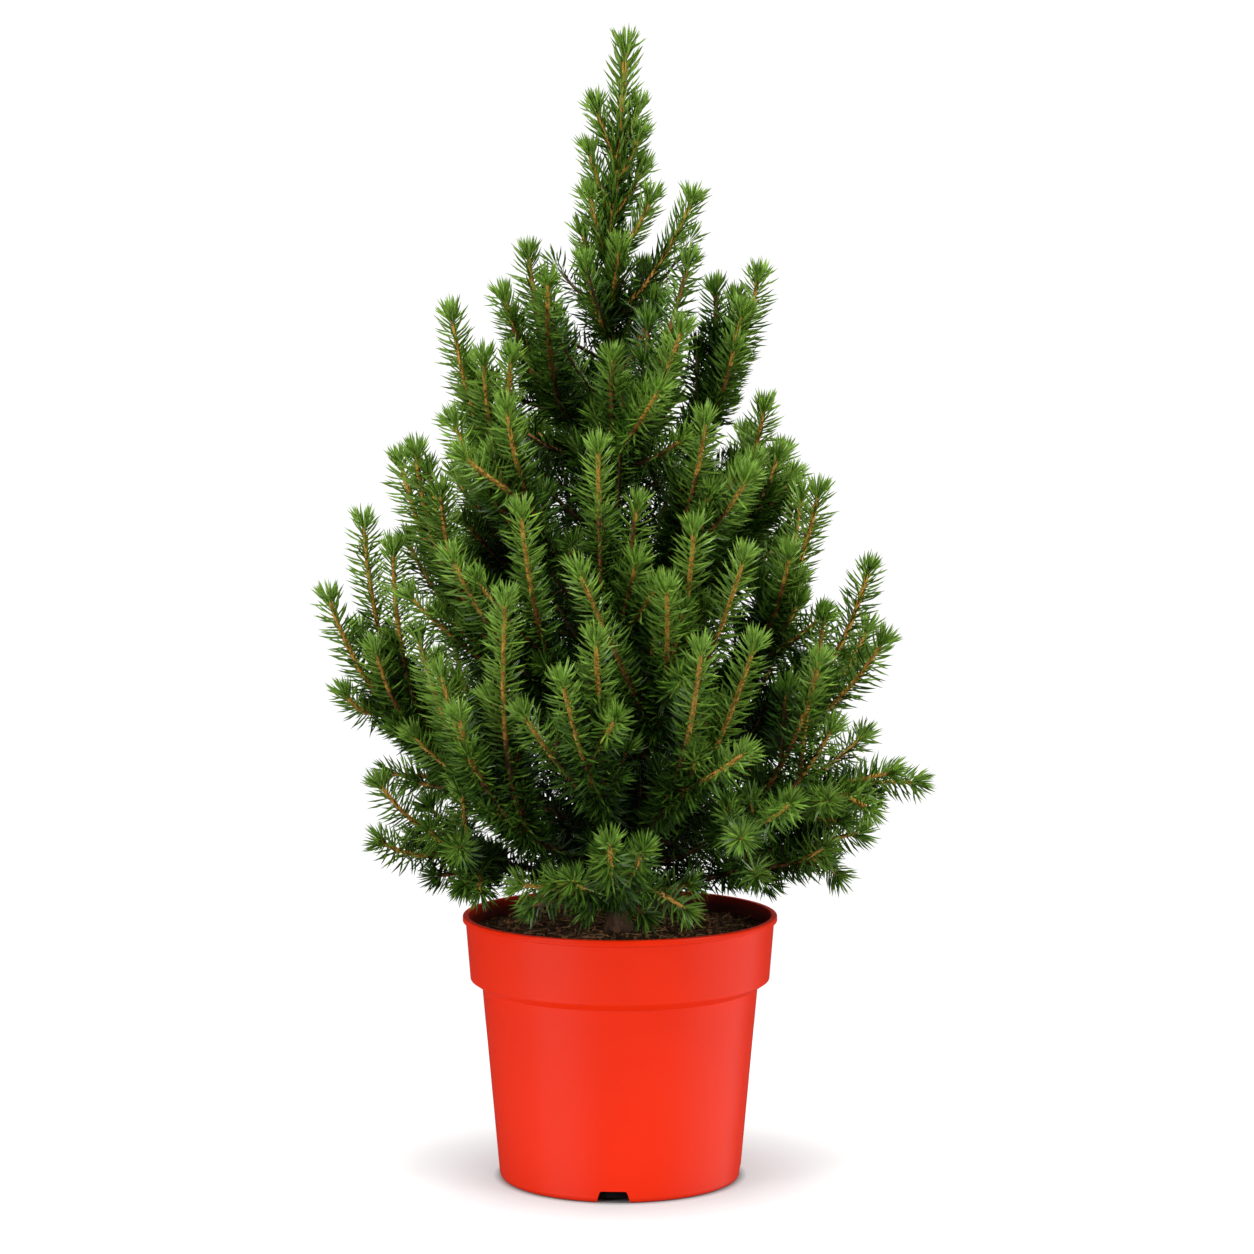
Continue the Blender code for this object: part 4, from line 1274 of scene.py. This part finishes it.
def strewCompost(surface, edgeRadius):
    # crumbs and dry fibres on top of the compost
    chance = np.random.RandomState(compost["seed"])
    deselectAll()
    bpy.ops.mesh.primitive_ico_sphere_add(subdivisions=1, radius=1)
    lump = newest()
    for vertex in lump.data.vertices:
        vertex.co *= compost["dented"] + compost["dents"] * chance.random_sample()
    shape = modelledShape(lump)
    count = compost["crumbs"]
    turn, _ = np.linalg.qr(chance.normal(size=(count, 3, 3)))
    turn *= np.sign(np.linalg.det(turn))[:, None, None]
    sizes = chance.uniform(*compost["crumbSize"], (count, 3, 1)) \
        * chance.uniform(*compost["crumbPlay"], (count, 1, 1))
    crumbs = joinCopies("peatCrumbs", shape, scatter(chance, count, surface, edgeRadius), turn * sizes,
                        chance.choice(compost["crumbTones"], count))
    tones = [peatMaterial(name) for name in ("dampPeatCrumb", "dryPeatCrumb", "barkChip")]
    finishPiece(crumbs, tones, "compost")
    runs = []
    above, inward = compost["fibresLie"]
    steps = compost["fibreSteps"]
    for place in scatter(chance, compost["fibres"], surface + above, edgeRadius - inward):
        length = chance.uniform(*compost["fibreLength"])
        heading = chance.normal(size=3) * np.array(compost["fibreWay"])
        heading *= length / np.linalg.norm(heading)
        sag = chance.normal(size=3) * np.array(compost["fibreSag"]) * length
        curve = bezier(place - heading / 2, place + sag, place + heading / 2, steps)
        radii = np.full(steps, compost["fibreRadius"]) * chance.uniform(*compost["fibrePlay"])
        runs.append((curve, radii, 0))
    fibres = tubes("peatFibres", runs, 0)
    finishPiece(fibres, [barkMaterial("dryFibre")], "compost")
    print("compost strewn:", count, "crumbs,", compost["fibres"], "fibres")


strewCompost(*modelCompost())


studio = {
    "floorRadius": 0.42,
    "floorColour": "#969696",
    "glowColour": "#FFFFFF",   # a glowing table: its glow by the pot's foot, lowered there as a painted shadow, and out in the open
    "shadowedAndOpenGlow": (0.50, 0.95),
    "paintedShadowRadii": (0.070, 0.150),
    "paintedFootShadow": (0.0630, 0.0690),      # painted shadow: no glow under the pot
    "backdropRadius": 12.0,
    "backdropColour": "#FFFFFF",
    "backdropGlow": 1.05,
    "roomColour": "#FFFFFF",
    "roomStrength": 0.08,
    # name: place, width and height, watts, each aimed at the middle of the plant
    "lights": {
        "keyLeft": ((-1.52, -1.30, 0.78), (0.6, 0.9), 24.0),
        "keyRight": ((1.60, -1.02, 0.68), (0.6, 0.9), 21.5),
        "top": ((0.0, -0.7, 2.1), (0.7, 0.7), 38.0),
    },
    "fills": {"back": ((0.3, 2.0, 0.9), (1.4, 1.2), 20.0)},        # light for the far side, with no gloss
    "sheens": {                # which only glossy surfaces see: the soft bands down the pot's sides
        "sheenLeft": ((-1.21, -0.88, -0.59), (1.2, 1.0), 6.4),
        "sheenRight": ((1.49, 0.13, -0.59), (1.9, 1.0), 8.2),
    },
    "aim": (0.0, 0.0, 0.28),
    "cameraPlace": (0.0038, -1.80, 0.4453),
    "cameraPitch": -4.66,
    "lens": 96.5,
    "sensor": 36.0,
}


def aimAt(lamp, target):
    way = np.array(target) - np.array(lamp.location)
    tilt = math.acos(-way[2] / np.linalg.norm(way))
    lamp.rotation_euler = (tilt, 0, math.atan2(way[1], way[0]) - math.pi / 2)


def buildBackdrop():
    # a white sphere round the set, that the camera sees but that gives no light
    deselectAll()
    bpy.ops.mesh.primitive_uv_sphere_add(segments=48, ring_count=24, radius=studio["backdropRadius"])
    backdrop = newest()
    backdrop.name = "studioBackdrop"
    material, *_ = startMaterial("paperBackdrop", {
        "Base Color": (0, 0, 0, 1), "Roughness": 1.0, "Specular IOR Level": 0.0,
        "Emission Strength": studio["backdropGlow"], "Emission Color": toLinear(studio["backdropColour"])})
    material.cycles.emission_sampling = "NONE"
    backdrop.data.materials.append(material)
    backdrop.visible_diffuse = backdrop.visible_glossy = backdrop.visible_transmission = False
    backdrop.visible_shadow = False


def buildFloor():
    deselectAll()
    bpy.ops.mesh.primitive_circle_add(vertices=96, radius=studio["floorRadius"], fill_type="NGON")
    floor = newest()
    floor.name = "studioFloor"
    material, tree, shader = startMaterial("glowingTableWithPaintedShadow", {
        "Base Color": toLinear(studio["floorColour"]), "Roughness": 0.7, "Specular IOR Level": 0.2,
        "Emission Color": toLinear(studio["glowColour"])})
    place = addNode(tree, "TexCoord")
    reach = addNode(tree, "VectorMath", {"operation": "LENGTH"}, links={0: place.outputs["Object"]})
    # painted shadow: the glow drops towards the pot's foot and is gone under it
    (near, far), (low, high) = studio["paintedShadowRadii"], studio["shadowedAndOpenGlow"]
    glow = addNode(tree, "MapRange", links={"Value": reach.outputs["Value"]},
                   values={"From Min": near, "From Max": far, "To Min": low, "To Max": high})
    dark, clear = studio["paintedFootShadow"]
    under = addNode(tree, "MapRange", links={"Value": reach.outputs["Value"]},
                    values={"From Min": dark, "From Max": clear})
    lit = addNode(tree, "Math", {"operation": "MULTIPLY"},
                  links={0: glow.outputs["Result"], 1: under.outputs["Result"]})
    feed(tree, shader, {"Emission Strength": lit.outputs["Value"]})
    material.cycles.emission_sampling = "NONE"
    floor.data.materials.append(material)
    floor.visible_shadow = False
    floor.visible_glossy = False        # the pot's side mirrors the dim room, not the lit table


def buildStudio():
    buildBackdrop()
    buildFloor()
    world = bpy.data.worlds.new("dimRoom")
    world.use_nodes = True
    background = world.node_tree.nodes["Background"]
    background.inputs["Color"].default_value = toLinear(studio["roomColour"])
    background.inputs["Strength"].default_value = studio["roomStrength"]
    bpy.context.scene.world = world
    for name, (place, size, watts) in {**studio["lights"], **studio["fills"], **studio["sheens"]}.items():
        bpy.ops.object.light_add(type="AREA", location=place)
        lamp = newest()
        lamp.name = name
        lamp.data.shape = "RECTANGLE"
        lamp.data.size, lamp.data.size_y = size
        lamp.data.energy = watts
        if name in studio["sheens"]:
            lamp.visible_diffuse = False
        if name in studio["fills"]:
            lamp.visible_glossy = False
        aimAt(lamp, studio["aim"])
    bpy.ops.object.camera_add(location=studio["cameraPlace"],
                              rotation=(math.radians(90 + studio["cameraPitch"]), 0, 0))
    camera = newest()
    camera.data.lens, camera.data.sensor_width = studio["lens"], studio["sensor"]
    camera.data.clip_end = 100.0
    bpy.context.scene.camera = camera
    bpy.context.scene.view_settings.view_transform = "Standard"
    print("studio set")


buildStudio()
deselectAll()
